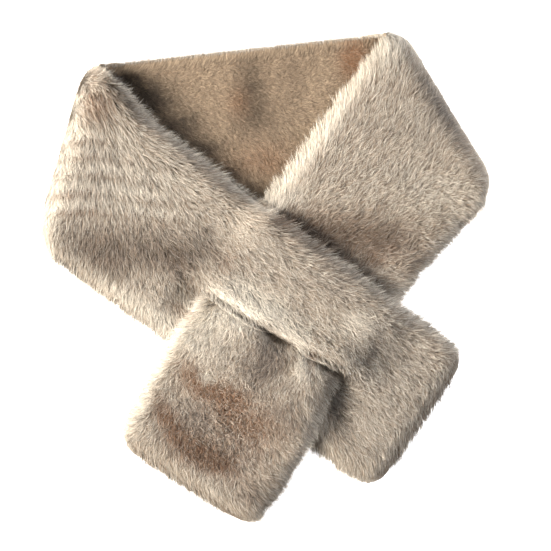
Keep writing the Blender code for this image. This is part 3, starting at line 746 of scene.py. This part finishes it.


# Shades of the pile (x, y, half length, half width in mm, turn in degrees, cream, brown, grey, dark).
# Dark above 0 is mostly painted shade and below 0 painted light, with a few dark flecks of the fur's own;
# many of the grey and cream shares go with that painted shade and light.
SHADES = np.array((
    # Left arm: cream, with a red-brown touch by the corner and a dark field along its lower half, where
    # it slopes away from the light: its own grey with painted shade. Painted shade along its upper edge by
    # the neck, painted light along its left and lower edges.
    (-116, 70, 62, 34, 0, 0.25, 0.05, 0, 0.08),
    (-132, 132, 15, 14, 0, -0.25, 0.5, 0, 0.12),
    (-138, 162, 16, 11, 40, -0.1, 0.12, 0, 0.3),
    (-112, 145, 22, 6, -42, -0.2, 0, 0.2, 0.5),
    (-102, 20, 58, 17, -8, -0.4, 0.08, 0.3, 0.44),
    (-66, 12, 12, 14, 0, -0.1, 0.15, 0, 0.4),
    (-128, 4, 26, 9, -30, -0.2, 0.05, 0.1, 0.3),
    (-60, -12, 18, 12, -37, -0.2, 0.05, 0.2, 0.15),
    (-135, 22, 10, 9, 0, 0, 0.15, 0, 0.25),
    (-120, 10, 9, 8, 0, 0, 0.15, 0, 0.2),
    (-44, 22, 20, 14, -37, -0.15, 0, 0.25, 0.25),
    (-98, -28, 60, 9, -37, 0.45, 0, -0.2, 0),
    (-170, 60, 14, 80, -15, 0.45, 0, 0, -0.15),
    (-40, 84, 66, 9, -40, -0.15, 0, 0.35, 0.15),
    (-28, 8, 8, 9, 0, 0, 0.3, 0, 0.1),
    (-70, -28, 12, 6, -37, -0.1, 0.4, 0, 0),
    # Upper strand and left tail: grey-beige, cream at the slit's lip and on the bump beyond it, both with
    # painted light; painted shade in the crease past the bump, and a deep painted shadow beside the tail's
    # right edge.
    (8, 4, 40, 20, -37, 0.15, 0.05, 0, 0),
    (4, -29, 42, 11, -37, 0.9, 0, -0.3, -0.12),
    (77, -40, 13, 11, 0, 0.6, 0.05, -0.1, -0.15),
    (88, -60, 18, 4, 60, -0.2, 0, 0.1, 0.35),
    (62, -8, 34, 14, -37, 0, 0, 0.3, 0),
    (104, -84, 44, 56, -37, 0.1, 0, 0.3, 0),
    (60, -108, 32, 9, -78, -0.2, 0, 0.2, 0.95),
    # Right arm: a cream band along its edge, lifted with painted light; dark taupe by the crossing, with
    # painted shadow where the upper strand shades it; grey by the fold, with painted shade along its far
    # edges.
    (45, 128, 78, 11, 57, 0.95, 0, -0.4, -0.8),
    (98, 184, 14, 12, 0, 0.6, 0, -0.1, 0),
    (22, 68, 18, 9, 0, 0.4, 0, 0, 0),
    (146, 134, 56, 8, -58.5, -0.25, 0, 0.5, 0.28),
    (128, 126, 26, 26, 0, 0.1, 0, 0.3, 0),
    (136, 72, 40, 17, -10, 0.3, 0, 0.1, 0),
    (20, 48, 8, 6, 0, -0.2, 0.3, 0, 0.55),
    (62, 38, 46, 15, -14, -0.4, 0.28, 0.25, 0.42),
    (62, 17, 46, 8, -34, -0.1, 0.05, 0.1, 0.6),
    (96, 30, 28, 16, 0, -0.2, 0.1, 0.2, 0.2),
    (90, -8, 16, 7, -34, 0, 0, 0, 0.5),
    (104, 18, 22, 18, 0, 0.1, 0.1, 0.1, 0),
    (122, 8, 16, 8, 40, -0.2, 0, 0.15, 0.45),
    (90, 15, 8, 6, 0, 0, 0.25, 0, 0),
    (97, 60, 2.5, 2.5, 0, 0, 0.3, 0, 0.6),
    # Right tail: cream by its left edge and its top, with painted light on the left edge; brown arcs round a
    # grey middle; a grey fan of painted shade by the lip, and painted light lifting the hollow under the lip.
    (-50, -34, 26, 22, 0, 0.65, 0, -0.3, 0),
    (-18, -34, 16, 12, -30, 0.35, 0, 0, 0),
    (-94, -80, 46, 9, 67.6, 0.65, 0, -0.2, -0.15),
    (4, -64, 27, 15, 55, -0.4, 0.08, 0.65, 0.26),
    (29, -73, 15, 5, 75, 0.55, 0, -0.1, 0),
    (39, -68, 8, 2.5, 75, 0, 0.6, 0, 0.2),
    (-57, -84, 16, 9, -50, -0.2, 0.6, 0, 0),
    (-35, -95, 18, 9, -15, -0.2, 0.55, 0, -0.05),
    (-28, -108, 17, 17, 0, 0, 0.35, 0, -0.15),
    (-55, -112, 14, 14, -10, 0.05, 0, 0.4, -0.2),
    (-79, -116, 20, 8, -60, -0.2, 0.65, 0, 0.05),
    (-48, -146, 24, 11, -25, -0.35, 0.7, 0, 0.4),
    (-20, -150, 18, 10, 0, -0.1, 0.2, 0.1, 0.2),
    (-6, -122, 22, 18, 0, -0.1, 0.45, 0.05, 0),
    (-48, -82, 5, 5, 0, 0.6, -0.4, 0, -0.1),
    (-15, -152, 6, 6, 0, 0.6, 0, 0, -0.1),
    (-8, -178, 14, 11, 0, -0.2, 0.1, 0.3, 0.3),
    (-40, -170, 22, 8, -38, 0.25, 0, 0, 0),
    (20, -116, 14, 20, 0, -0.1, 0.1, 0.15, 0.32),
    (-30, -134, 50, 36, -38, -0.05, 0.12, 0, 0.1),
    (-22, -24, 28, 5, -36, 0.5, 0, -0.1, -0.5),
    (-26, -36, 14, 9, -36, 0.2, 0, 0, -0.25),
    (9, -54, 9, 5, -36, 0.3, 0, -0.2, -0.65),
    (20, -49, 10, 5, -36, 0.3, 0, -0.1, -0.45),
    (45, -75, 8, 9, 0, 0.3, 0, 0, -0.5),
    (24, -56, 10, 6, -36, 0.4, 0, 0, -0.4),
    (-64, -128, 18, 14, -20, -0.15, 0.2, 0.1, 0.2),
))
# Pale and dark bands across the left arm, a few millimetres apart (y, half height, strength).
BANDS = np.array(((100, 4, 0.2), (88, 3.5, 0.14), (74.5, 4, 0.28), (59.5, 4, 0.34), (45.5, 4, 0.32),
                  (94, 3, -0.18), (81, 3, -0.2), (67, 3, -0.24), (52, 3, -0.26), (38, 3.5, -0.2)))


def pile_shade(x, y):
    """Cream, brown, grey and darkening shares: a base plus turned soft spots, and bands on the left arm.

    The darkening share is mostly painted shade above 0 and painted light below 0; the bands and a few
    flecks darken it with the fur's own tone.
    """
    shares = np.stack([np.full_like(x, share) for share in (0.42, 0.1, 0.18, 0)])
    for spot_x, spot_y, long_half, wide_half, degrees, *strengths in SHADES:
        turn = math.radians(degrees)
        run = (x - spot_x) * math.cos(turn) + (y - spot_y) * math.sin(turn)
        side = (y - spot_y) * math.cos(turn) - (x - spot_x) * math.sin(turn)
        shares += np.array(strengths)[:, None] * spot(run, side, long_half, wide_half)
    slant = y + 0.06 * x + 2 * np.sin(x / 17)
    band_zone = window(x, -185, -165, -85, -42)
    for level, half, strong in BANDS:
        uneven = 0.8 + 0.4 * np.sin(x / 13 + level)
        band = strong * band_zone * uneven * np.exp(-((slant - level) / half) ** 2)
        shares[0] += band
        shares[1] += np.maximum(-band, 0) * (1 - ramp(x, -140, -110))
        shares[3] -= 0.35 * band
    return shares


def ripple(draw, x, y, wavelengths):
    """Smooth seeded unevenness: a mean of sines with random headings and phases at each wavelength."""
    total = np.zeros_like(x)
    for wavelength in wavelengths:
        for heading in draw.uniform(0, math.pi, 5):
            phase = draw.uniform(0, 2 * math.pi)
            way = x * math.cos(heading) + y * math.sin(heading)
            total += np.sin(way * 2 * math.pi / wavelength + phase)
    return total / math.sqrt(5 * len(wavelengths))


# How far loose strands reach past an edge, the share of tall locks, how the upper lip's pile lies out over
# the tail's (its shift, how far past the lip, its lift for each millimetre past), and how far strands draw in
# round a fold.
FRINGE = 8.5
TALL_SHARE = 0.22
LIP_REACH = 5
LIP_OVER = 4
LIP_LIFT = 2.4
CORNER_DRAW = 1.2
# Strands in a lock and how far apart they stand, and the share of shift and height at a strand's middle.
PER_LOCK = 3
SPREAD = 0.4
MIDDLE_SHIFT = 0.36
MIDDLE_HEIGHT = 0.62
# Lines along a stretch, and steps across it, at which the pile wanted is summed up.
LOCK_LINES = 320
LOCK_STEPS = 120


class Nap:
    """How one stretch carries its pile.

    Its lines, how far along they are in mm, the lay, which pile shows, root and tip surfaces, and the rims'
    inset and rounds.
    """

    def __init__(self, stretch, lay_rows, directions, shown, root_of=root_points, tip_of=tip_points,
                 rim=(PELT_INSET, PELT_ROUND, PILE_ROUND), curly=None):
        self.stretch, self.lay_rows, self.directions, self.shown = stretch, lay_rows, directions, shown
        self.root_of, self.tip_of, self.rim, self.curly = root_of, tip_of, rim, curly
        half = 0.5 * stretch.length()
        line = root_of(stretch, half, np.ones_like(half))[:, 0]
        self.run = np.append(0, np.cumsum(np.linalg.norm(np.diff(line, axis=0), axis=1)))
        ends = stretch.rows[:, END]
        self.sewn_end = ends[-1] < NO_END
        self.last = float(np.interp(-rim[0], -ends, self.run)) if self.sewn_end else self.run[-1]

    def at(self, run):
        """The lines at distances along the stretch, held between its first and last line."""
        return self.stretch.at(np.interp(run, self.run, np.arange(len(self.run))))

    def limits(self, lines, strand):
        """How near the edges, or a lip of the slit, roots may stand on each line."""
        width = lines.length()[:, 0]
        low, high = self.rim[0] + 0 * width, width - self.rim[0]
        if self.stretch.split:
            back = np.minimum(lines.rows[:, OPEN] * 20, 1)
            lip = lines.rows[:, LIP]
            low, high = (low, lip - back) if strand > 0.5 else (lip + lines.rows[:, GAPE] + back, high)
        return low, high

    def curl(self, plan):
        """How curly the pile is: a soft round spot on a stretch that has one, 0 elsewhere."""
        if self.curly is None:
            return np.zeros(len(plan))
        along, across, half = self.curly
        return spot(plan[:, 0] - along, plan[:, 1] - across, half, half)


def fan_out(distance, rim, lean):
    """Distance of a strand's tip from the outline, and the shift inwards that takes it there from its root.

    The distance grows from 0 at the pelt's rim and is equal past the round. The shift is less by
    0.7 lean (1 - distance/round)^2, so that tips near the edge lean out over it.
    """
    inset, root_round, tip_round = rim
    inside = distance - inset
    fanned = np.where(inside < root_round, inside * tip_round / root_round, distance)
    return fanned, fanned - distance - 0.7 * lean * (1 - np.clip(fanned / tip_round, 0, 1)) ** 2


def bridging(along):
    """Where the upper lip's pile lies out over the tail's: all along it but for the hollow at 14 mm."""
    return window(along, -72, -60, -12, 4) + window(along, 24, 32, 76, 86)


def lock_places(nap, locks, strand, draw):
    """Run and reach of each lock: a jittered grid, bent so that every cell holds an equal share of the pile.

    The share is summed over the stretch, first along each line, then over the lines, and read backwards.
    """
    numbers = np.arange(LOCK_LINES)
    runs = np.linspace(0, nap.last, LOCK_LINES)
    lines = nap.at(runs)
    low, high = nap.limits(lines, strand)
    reach = low[:, None] + (high - low)[:, None] * np.linspace(0, 1, LOCK_STEPS)
    plan = lines.plan(reach)
    turn = lines.column(TURN)
    edge = np.minimum(reach, lines.length() - reach) - nap.rim[0]
    rim = 1 - ramp(edge, 4, nap.rim[1])
    wanted = nap.shown(plan[:, :, 0], plan[:, :, 1], turn) * (high - low)[:, None]
    wanted = wanted * (1 + np.sin(turn)) * (1 + 0.9 * rim + 1.6 * np.sin(turn) * rim)
    across = np.cumsum(wanted, axis=1)
    down = np.cumsum(across[:, -1])
    across = across / across[:, -1:]
    rows = int(math.sqrt(locks * nap.last / (high - low).mean()))
    columns = locks // rows
    row, column = np.divmod(np.arange(rows * columns), columns)
    line = np.interp((row + draw.random(len(row))) / rows, down / down[-1], numbers)
    share = (column + draw.random(len(row))) / columns
    near = np.clip(np.rint(line).astype(int), 0, LOCK_LINES - 1)
    flat = (across + numbers[:, None]).ravel()
    index = np.clip(np.searchsorted(flat, near + share) - near * LOCK_STEPS, 1, LOCK_STEPS - 1)
    before = across[near, index - 1]
    part = np.clip((share - before) / (across[near, index] - before + 1e-12), 0, 1)
    run = np.interp(line, numbers, runs)
    low, high = nap.limits(nap.at(run), strand)
    return run, low + (high - low) * (index - 1 + part) / (LOCK_STEPS - 1)


def unit(vectors):
    """Vectors brought to length 1."""
    return vectors / (np.linalg.norm(vectors, axis=1, keepdims=True) + 1e-9)


def grow(nap, count, strand, seed, lean_length=8.5, heights=(0.76, 0.98), pulls=(0.15, 0.6), curl=0.9,
         closing=1):
    """For each strand its root, middle and tip points, upright direction, random shade and paleness; near the
    outline and round the folds the paleness is painted light, on the tall locks their own paler tips.

    Each strand is rooted near its lock's centre. Its tip is on the tip surface, shifted by the lean and drawn
    to its lock's tip; its middle is 0.62 of the way out with 0.36 of the shift, pushed aside by the curl.
    Closing is 1 where the upper lip's pile closes over the slit, 0 where it doesn't.
    """
    draw = np.random.default_rng(seed)
    inset = nap.rim[0]
    down, over = nap.directions
    toward = 2 * strand - 1
    run, reach = lock_places(nap, count // PER_LOCK, strand, draw)
    locks = len(run)
    lock = np.repeat(np.arange(locks), PER_LOCK)
    total = len(lock)
    run = np.clip(run[lock] + draw.normal(0, SPREAD, total), 0, nap.last)
    lines = nap.at(run)
    low, high = nap.limits(lines, strand)
    reach = np.clip(reach[lock] + draw.normal(0, SPREAD, total), low, high)
    mark = np.full((total, 1), strand)
    root = nap.root_of(lines, reach[:, None], mark)[:, 0]
    plan = lines.plan(reach[:, None])[:, 0]

    rough = nap.curl(plan)
    swing = (draw.normal(0, 0.3, locks)[lock] + draw.normal(0, 0.3, total)) * (1 + 1.8 * rough)
    swing = swing + 0.25 * ripple(draw, plan[:, 0], plan[:, 1], (34, 17))
    lay = lay_direction(nap.lay_rows, plan, 22)
    lay = np.stack((lay[:, 0] * np.cos(swing) - lay[:, 1] * np.sin(swing),
                    lay[:, 0] * np.sin(swing) + lay[:, 1] * np.cos(swing)), axis=1)
    tall = (draw.random(locks) < TALL_SHARE)[lock]
    lean = lean_length * draw.uniform(0.7, 1.25, locks)[lock] * draw.uniform(0.75, 1.25, total)
    lean = lean * (1 + 0.3 * tall)
    width = lines.length()[:, 0]
    near_low = reach < 0.5 * width
    edge = np.where(near_low, reach, width - reach)
    bent = np.sin(lines.rows[:, TURN])
    lean = lean * (1 - 0.55 * bent * (1 - ramp(edge, inset, 28))) * (1 - 0.45 * rough)
    fanned, shift_edge = fan_out(edge, nap.rim, lean)
    shift_reach = np.where(near_low, shift_edge, -shift_edge) + lay @ over * lean
    end = lines.rows[:, END]
    shift_run = np.where(end < 60, -fan_out(end, nap.rim, lean)[1], 0) + lay @ down * lean
    free = FRINGE * draw.random(total) ** 2 * ramp(lines.rows[:, TURN], 0.5, 1.5)
    if nap.stretch.split:
        near_lip = 1 - np.clip(np.abs(lines.rows[:, LIP] - reach) / 7, 0, 1)
        touching = lines.rows[:, OPEN] * (1 - np.clip((lines.rows[:, GAPE] - 1.2) / 2, 0, 1))
        touching = np.maximum(touching, strand * bridging(lines.rows[:, 0]))
        shift_reach = shift_reach + toward * LIP_REACH * near_lip * touching * closing

    def between(part, share, aside=0):
        """Points after a part of the shift, at a share of the way from the root to the tip surface."""
        runs = run + shift_run * part - aside * (lay @ over)
        there = nap.at(runs)
        wide = there.length()[:, 0]
        folded = np.sin(there.rows[:, TURN])
        beside = free * (0.2 + 0.8 * np.clip(there.rows[:, END] / 14, 0, 1)) * (1 - folded)
        beside = beside - CORNER_DRAW * folded
        reaches = np.clip(reach + shift_reach * part + aside * (lay @ down), -beside, wide + beside)
        lift = 0
        if nap.stretch.split:
            gape = there.rows[:, GAPE]
            past = np.maximum((reaches - there.rows[:, LIP] - (1 - strand) * gape) * toward, 0)
            kept = closing * np.minimum(past, LIP_OVER) * strand * bridging(there.rows[:, 0])
            reaches = reaches - toward * (past - kept) * np.clip((gape - 1.2) / 4, 0, 1)
            lift = LIP_LIFT * kept * np.clip((gape - 3) / 4, 0, 1)
        inner = np.clip(reaches, inset, wide - inset)
        bottom = nap.root_of(there, inner[:, None], mark)[:, 0]
        top = nap.tip_of(there, reaches[:, None], mark)[:, 0]
        made = bottom + (top - bottom) * share[:, None]
        past_end = np.clip(runs - nap.run[-1], 0, free) * nap.sewn_end
        past_end = past_end * np.clip(np.minimum(reaches, wide - reaches) / 14, 0, 1)
        made[:, :2] += past_end[:, None] * down
        made[:, 2] = np.maximum(made[:, 2] + lift, 0.15)
        return made

    height = draw.uniform(*heights, locks)[lock] * draw.uniform(0.86, 1.04, total)
    height = np.where(tall, draw.uniform(0.98, 1.1, total), height)
    height = height * (1 + 0.4 * bent * draw.random(total) ** 3)
    height = height * (1 + 0.05 * ripple(draw, plan[:, 0], plan[:, 1], (26, 13)))
    tip = between(1, height)
    middle = between(MIDDLE_SHIFT, height * MIDDLE_HEIGHT, draw.normal(0, curl, total) * (1 + rough))
    pull = draw.uniform(*pulls, locks)[lock][:, None]
    for points, share in ((tip, pull), (middle, pull * 0.4)):
        centre = np.stack([np.bincount(lock, points[:, axis]) for axis in range(3)], axis=1) / PER_LOCK
        points += (centre[lock] - points) * share
    up = unit(between(0, np.ones(total)) - root)
    shade = draw.random(locks)[lock] * 0.45 + draw.random(total) * 0.4 + 0.15 * tall
    shade = 0.5 + (shade - 0.5) * (1 + 0.9 * rough)
    # Paleness: painted light on strands near the outline and round the folds, where the edges glow; the tall
    # locks add their own paler tips.
    pale = np.maximum(1 - np.clip(fanned / 7, 0, 1), 0.7 * bent ** 2)
    return root, middle, tip, up, shade, pale + 0.25 * tall


def pile_piece(name, strands, width, material, tone_of):
    """One mesh of slim blades: a root point, two corners at the middle and a tip, two triangles each.

    A blade's side is strand direction x upright, rolled a little. Its tones go in two attributes, as (way up
    the strand, cream, brown, grey) and (upright, brightness), the brightness carrying painted shade and
    painted light; the map gives each blade its own small square.
    """
    root, middle, tip, up, shade, pale = strands
    count = len(root)
    draw = np.random.default_rng(count)
    side = unit(np.cross(tip - root, up))
    roll = draw.normal(0, 0.4, (count, 1))
    side = side * np.cos(roll) + up * np.sin(roll)
    half = 0.5 * width * draw.uniform(0.7, 1.3, (count, 1))
    points = np.stack((root, middle - side * half, middle + side * half, tip), axis=1)
    first = np.arange(count)[:, None, None] * 4
    triangles = (first + np.array(((0, 2, 1), (1, 2, 3)))[None, :, :]).reshape(-1, 3)
    mesh = bpy.data.meshes.new(name)
    mesh.vertices.add(count * 4)
    mesh.vertices.foreach_set("co", (points * 0.001).astype(np.float32).ravel())
    mesh.loops.add(count * 6)
    mesh.loops.foreach_set("vertex_index", triangles.ravel().astype(np.int32))
    mesh.polygons.add(count * 2)
    mesh.polygons.foreach_set("loop_start", np.arange(0, count * 6, 3, dtype=np.int32))
    mesh.update(calc_edges=True)
    mesh.polygons.foreach_set("use_smooth", np.ones(count * 2, dtype=bool))
    cream, brown, grey, dark_tone_and_painted_shade = tone_of(tip[:, 0], tip[:, 1])
    # Paleness makes tips creamer and less grey and weakens the painted shade: painted light at the outline
    # and folds, the fur's own paler tips on tall locks.
    cream = np.clip(cream + 0.45 * pale + draw.normal(0, 0.34, count), 0, 1)
    brown = np.clip(brown * draw.uniform(0.2, 1.8, count), 0, 1)
    grey = np.clip(grey * draw.uniform(0.4, 1.6, count) * (1 - 0.5 * pale), 0, 1)
    tones = np.repeat(np.stack((cream, cream, brown, grey), axis=1), 4, axis=0)
    tones[:, 0] = np.tile((0, 0.5, 0.5, 1), count)
    set_colour(mesh, "pile tone", tones)
    # Brightness: the strand's random shade, lowered by the darkening share (mostly painted shade, painted
    # light where below 0), and lifted a little near the outline and round the folds by painted light.
    bright = np.clip(0.15 + 0.85 * shade - 0.6 * dark_tone_and_painted_shade * (1 - 0.6 * pale) + 0.08 * pale, 0, 1)
    set_colour(mesh, "pile upright", np.repeat(np.column_stack((up * 0.5 + 0.5, bright)), 4, axis=0))
    cells = int(math.ceil(math.sqrt(count)))
    corner = np.array(((0.5, 0.05), (0.8, 0.5), (0.2, 0.5), (0.2, 0.5), (0.8, 0.5), (0.5, 0.95)))
    origin = np.stack((np.arange(count) % cells, np.arange(count) // cells), axis=1)
    atlas = (origin[:, None, :] + corner[None, :, :]) / cells
    layer = mesh.uv_layers.new(name="OFBake")
    layer.data.foreach_set("uv", atlas.astype(np.float32).ravel())
    return dress(name, mesh, material)


def strand_material(name, tips, shades, roots, root_end, tip_start, spread, sheen):
    """Material of a pile whose strands carry (way up, cream, brown, grey) and (upright, brightness).

    Tip colour: from the plain to the pale tip by cream, then towards grey and brown by those. Along the
    strand it goes from the root's colour, plain or warm, to the tip's. The normal is half the blade's, half
    the upright.
    """
    material, tree = new_material(name)
    tone = add_node(tree, "ShaderNodeAttribute", {"attribute_name": "pile tone"})
    parts = add_node(tree, "ShaderNodeSeparateColor", None, {"Color": tone.outputs["Color"]})
    upright = add_node(tree, "ShaderNodeAttribute", {"attribute_name": "pile upright"})
    tip_colour = mix(tree, parts.outputs["Green"], *tips)
    tip_colour = mix(tree, tone.outputs["Alpha"], tip_colour, shades[0])
    tip_colour = mix(tree, parts.outputs["Blue"], tip_colour, shades[1])
    root_colour = mix(tree, parts.outputs["Blue"], *roots)
    way = add_node(tree, "ShaderNodeMapRange", {"From Min": root_end, "From Max": tip_start},
                   {"Value": parts.outputs["Red"]})
    colour = mix(tree, way.outputs["Result"], root_colour, tip_colour)
    # Brightness from the strands, which carries the pile's painted shade and painted light.
    vary = add_node(tree, "ShaderNodeMapRange", {"To Min": spread[0], "To Max": spread[1]},
                    {"Value": upright.outputs["Alpha"]})
    varied = add_node(tree, "ShaderNodeHueSaturation", None,
                      {"Value": vary.outputs["Result"], "Color": colour})
    undo = add_node(tree, "ShaderNodeVectorMath",
                    {"operation": "MULTIPLY_ADD", 1: (2, 2, 2), 2: (-1, -1, -1)},
                    {0: upright.outputs["Color"]})
    own = add_node(tree, "ShaderNodeNewGeometry")
    both = add_node(tree, "ShaderNodeMix", {"data_type": "VECTOR", 0: 0.5},
                    {4: own.outputs["Normal"], 5: undo.outputs["Vector"]})
    normal = add_node(tree, "ShaderNodeVectorMath", {"operation": "NORMALIZE"}, {0: both.outputs[1]})
    add_surface(tree, {"Roughness": 0.75, "Sheen Weight": sheen},
                {"Base Color": varied.outputs["Color"], "Normal": normal.outputs["Vector"]})
    return material


# Acrylic faux fur pile: matt strands with a soft sheen. Taupe and red-brown low down, frosted cream at
# the tips, so that the tips catch the light and the gaps between locks stay dark.
fur = strand_material("faux fur pile", ("#B39B82", "#FFF5E3"), ("#878078", "#8C684D"), ("#5F4F41", "#64422C"),
                      root_end=0.15, tip_start=0.9, spread=(0.28, 1.52), sheen=0.15)


def left_shown(along, across, turn):
    """Pile of the left arm that shows: little on the lower strand beneath the tail or beneath the fold."""
    covered = window(along, -56, -44, 58, 68) * ramp(across - lip_across(along), 4, 12)
    return (1 - 0.95 * covered) * (0.25 + 0.75 * ramp(turn, 0.3, 1.2))


def arm_shown(along, across, turn):
    """Pile of the right arm that shows: almost none beneath the upper strand."""
    return (1 - 0.97 * ramp(across, -58, -46)) * (0.25 + 0.75 * ramp(turn, 0.3, 1.2))


def tail_shown(along, across, turn):
    """Pile of the right tail that shows: almost none before the slit's lip."""
    return 0.03 + 0.97 * ramp(across - lip_across(along), -16, -8)


PILE_END_STEPS = (31, 24, 18, 13.5, 10, 8, 6, 4, 2.5, 1.2, 0.4, 0)
DOWN_LEFT_ARM = (ALONG, ACROSS)
DOWN_RIGHT_ARM = (ACROSS, ALONG)
FUR_WIDTH = 0.45
left_nap = Nap(left_arm(PILE_END_STEPS), LEFT_LAY, DOWN_LEFT_ARM, left_shown)
arm_nap = Nap(right_arm(), ARM_LAY, DOWN_RIGHT_ARM, arm_shown)
tail_nap = Nap(right_tail(PILE_END_STEPS), TAIL_LAY, DOWN_RIGHT_ARM, tail_shown, curly=(9, 92, 42))
for name, nap, count, strand, seed in (
        ("left_arm_pile_upper", left_nap, 96000, 1, 11),
        ("left_arm_pile_lower", left_nap, 66000, 0, 12),
        ("right_arm_pile", arm_nap, 92000, 0, 13),
        ("right_tail_pile", tail_nap, 86000, 0, 14)):
    pile_piece(name, grow(nap, count, strand, seed), FUR_WIDTH, fur, pile_shade)


# ---------------------------------------------------------------------------
# Short pile: the plush's own strands, 4 mm long and brushed flat. They show on
# the neck, inside the folds, under the arms' back edges and by the slit's end.

# Which way the strands lean (along, across, degrees from +X).
PLUSH_LAY = np.array((
    (-230, -70, -20), (-170, -120, 8), (-120, -100, -30), (-100, -180, 20),
    (-80, -90, -60), (-60, -210, -10),
))

# Plush pile: the same fibre cut short, tan with browner roots, so that it looks brushed and soft.
plush_pile = strand_material("plush pile", ("#A28A70", "#C4AB8E"), ("#675644", "#AA7A56"),
                             ("#75614D", "#7C573D"), root_end=0, tip_start=0.7,
                             spread=(0.25, 1.36), sheen=0.2)


def plush_pile_tone(x, y):
    """Cream, brown, grey and darkening shares of the neck's plush: blotches and the painted shadow by the
    left arm are grey, the shadow darkens as well, and its warm patches are brown.
    """
    grey, brown, dark_tone_and_painted_shade = plush_tone(x, y)
    return 0.4 - 0.8 * grey, brown, np.clip(grey, 0, 1), dark_tone_and_painted_shade


def neck_shown(along, across, turn):
    """Plush of the neck that shows: in front of the left arm's upper edge and the right arm's left edge."""
    return (1 - ramp(across, -62, -54)) * (1 - ramp(along, -64, -56))


def left_under(along, across, turn):
    """Plush of the left arm that shows: inside the fold, under its upper edge and by the slit's right end."""
    fold = window(turn, 0.2, 0.6, 3, 3.14) * ramp(np.abs(across - 3), 44, 58)
    crossing = window(along, -110, -95, -50, -35) * (1 - ramp(across, -42, -28))
    edge = (1 - ramp(across, -58, -50)) * (1 - ramp(along, -60, -50)) * ramp(turn, 0.2, 0.6)
    lip = ramp(across - lip_across(along), -16, -8) * window(along, 30, 40, 92, 96)
    return 1e-4 + np.maximum.reduce((fold, 0.5 * crossing, 0.5 * edge, lip))


def right_under(along, across, turn):
    """Plush of the right arm that shows: inside the fold and under its left edge."""
    fold = window(turn, 0.2, 0.6, 3, 3.14) * ramp(np.abs(along - 7), 46, 60)
    edge = (1 - ramp(along, -58, -50)) * (1 - ramp(across, -70, -60)) * ramp(turn, 0.2, 0.6)
    return 1e-4 + np.maximum(fold, 0.5 * edge)


def plush_roots(stretch, reach, upper_strand):
    """Where the plush's pile is rooted: at 0.4 of its depth."""
    return plush_points(stretch, reach, upper_strand, 0.4)


def plush_tips(stretch, reach, upper_strand):
    """Where the plush's pile ends: (0.6 + 3.4 x quarter round of 10 mm from the outline) below the seam."""
    rise = rim_share(stretch, reach, 0, 10, PLUSH_ROUND, upper_strand)
    return stretch.place(stretch.plan(reach), -(0.6 + (PLUSH - 0.6) * rise), upper_strand)


PLUSH_SURFACES = (plush_roots, plush_tips, (PLUSH_INSET, PLUSH_ROUND, PLUSH_INSET + PLUSH_ROUND))
DOWN_NECK = (NECK_RUN[0] * ALONG + NECK_RUN[1] * ACROSS, -NECK_RUN[1] * ALONG + NECK_RUN[0] * ACROSS)
neck_nap = Nap(neck(FOLD_INSET), PLUSH_LAY, DOWN_NECK, neck_shown, *PLUSH_SURFACES)
inside_left = Nap(left_nap.stretch, PLUSH_LAY, DOWN_LEFT_ARM, left_under, *PLUSH_SURFACES)
inside_right = Nap(arm_nap.stretch, PLUSH_LAY, DOWN_RIGHT_ARM, right_under, *PLUSH_SURFACES)
for name, nap, count, lean, strand, seed, heights, width in (
        ("neck_plush_pile", neck_nap, 60000, 4.2, 0, 15, (0.8, 1), 0.35),
        ("left_fold_plush_pile", inside_left, 18000, 3.4, 1, 19, (0.9, 1.2), 0.4),
        ("right_fold_plush_pile", inside_right, 9000, 3.4, 1, 20, (0.9, 1.2), 0.4)):
    strands = grow(nap, count, strand, seed, lean, heights, pulls=(0.1, 0.4), curl=0.3, closing=0)
    pile_piece(name, strands, width, plush_pile, plush_pile_tone)


# ---------------------------------------------------------------------------
# Rim pile: fur from beside the seam that curls up round the plush's edge on
# the neck and at the start of each fold.
RIM_WIDTH = 0.4


def grow_rim(nap, count, sides, turns, seed):
    """Pile that curls out from the seam and up round the plush's edge, where the plush side faces up.

    Roots at about 7.6 mm from the edge, middles at 2.6 to 4.4 mm, tips at the outline and 3 mm in at a fold.
    """
    draw = np.random.default_rng(seed)
    last = nap.run[np.flatnonzero(nap.stretch.rows[:, TURN] <= turns)[-1]]
    run = draw.uniform(0, last, count)
    side = draw.choice(np.array(sides), count)
    lean = draw.normal(0, 2.2, count)
    lean = np.where(run < 6, np.abs(lean), np.where(run > last - 6, -np.abs(lean), lean))

    def at(share, distance, offset):
        """Points at a share of the lean, a distance from the edge and an offset from the seam."""
        lines = nap.at(run + lean * share)
        reach = np.where(side > 0.5, lines.length()[:, 0] - distance, distance)[:, None]
        return lines.place(lines.plan(reach), offset[:, None], np.zeros_like(reach))[:, 0]

    rise = draw.uniform(0, 1, count)
    root = at(0, 7.6 - 0.8 * rise, np.full(count, -0.3))
    middle = at(0.5, draw.uniform(2.6, 4.4, count), -0.2 - 0.8 * rise)
    drawn_in = 2.6 * np.sin(np.minimum(nap.at(run).rows[:, TURN], 0.5 * math.pi))
    tip = at(1, draw.uniform(-3.4, 1.2, count) + drawn_in, 1.6 - 2.4 * rise)
    up = unit(unit(tip - root) * 0.4 + np.array((0, 0, 1)))
    return root, middle, tip, up, draw.random(count), 0 * rise


for name, nap, count, sides, turns, seed in (
        ("neck_rim_pile", neck_nap, 12000, (0, 0, 0, 1), 4, 16),
        ("left_fold_rim_pile", left_nap, 2600, (0, 1), 1.3, 17),
        ("right_fold_rim_pile", arm_nap, 2600, (0, 1), 1.3, 18)):
    strands = grow_rim(nap, count, sides, turns, seed)
    pile_piece(name, strands, RIM_WIDTH, fur, pile_shade)
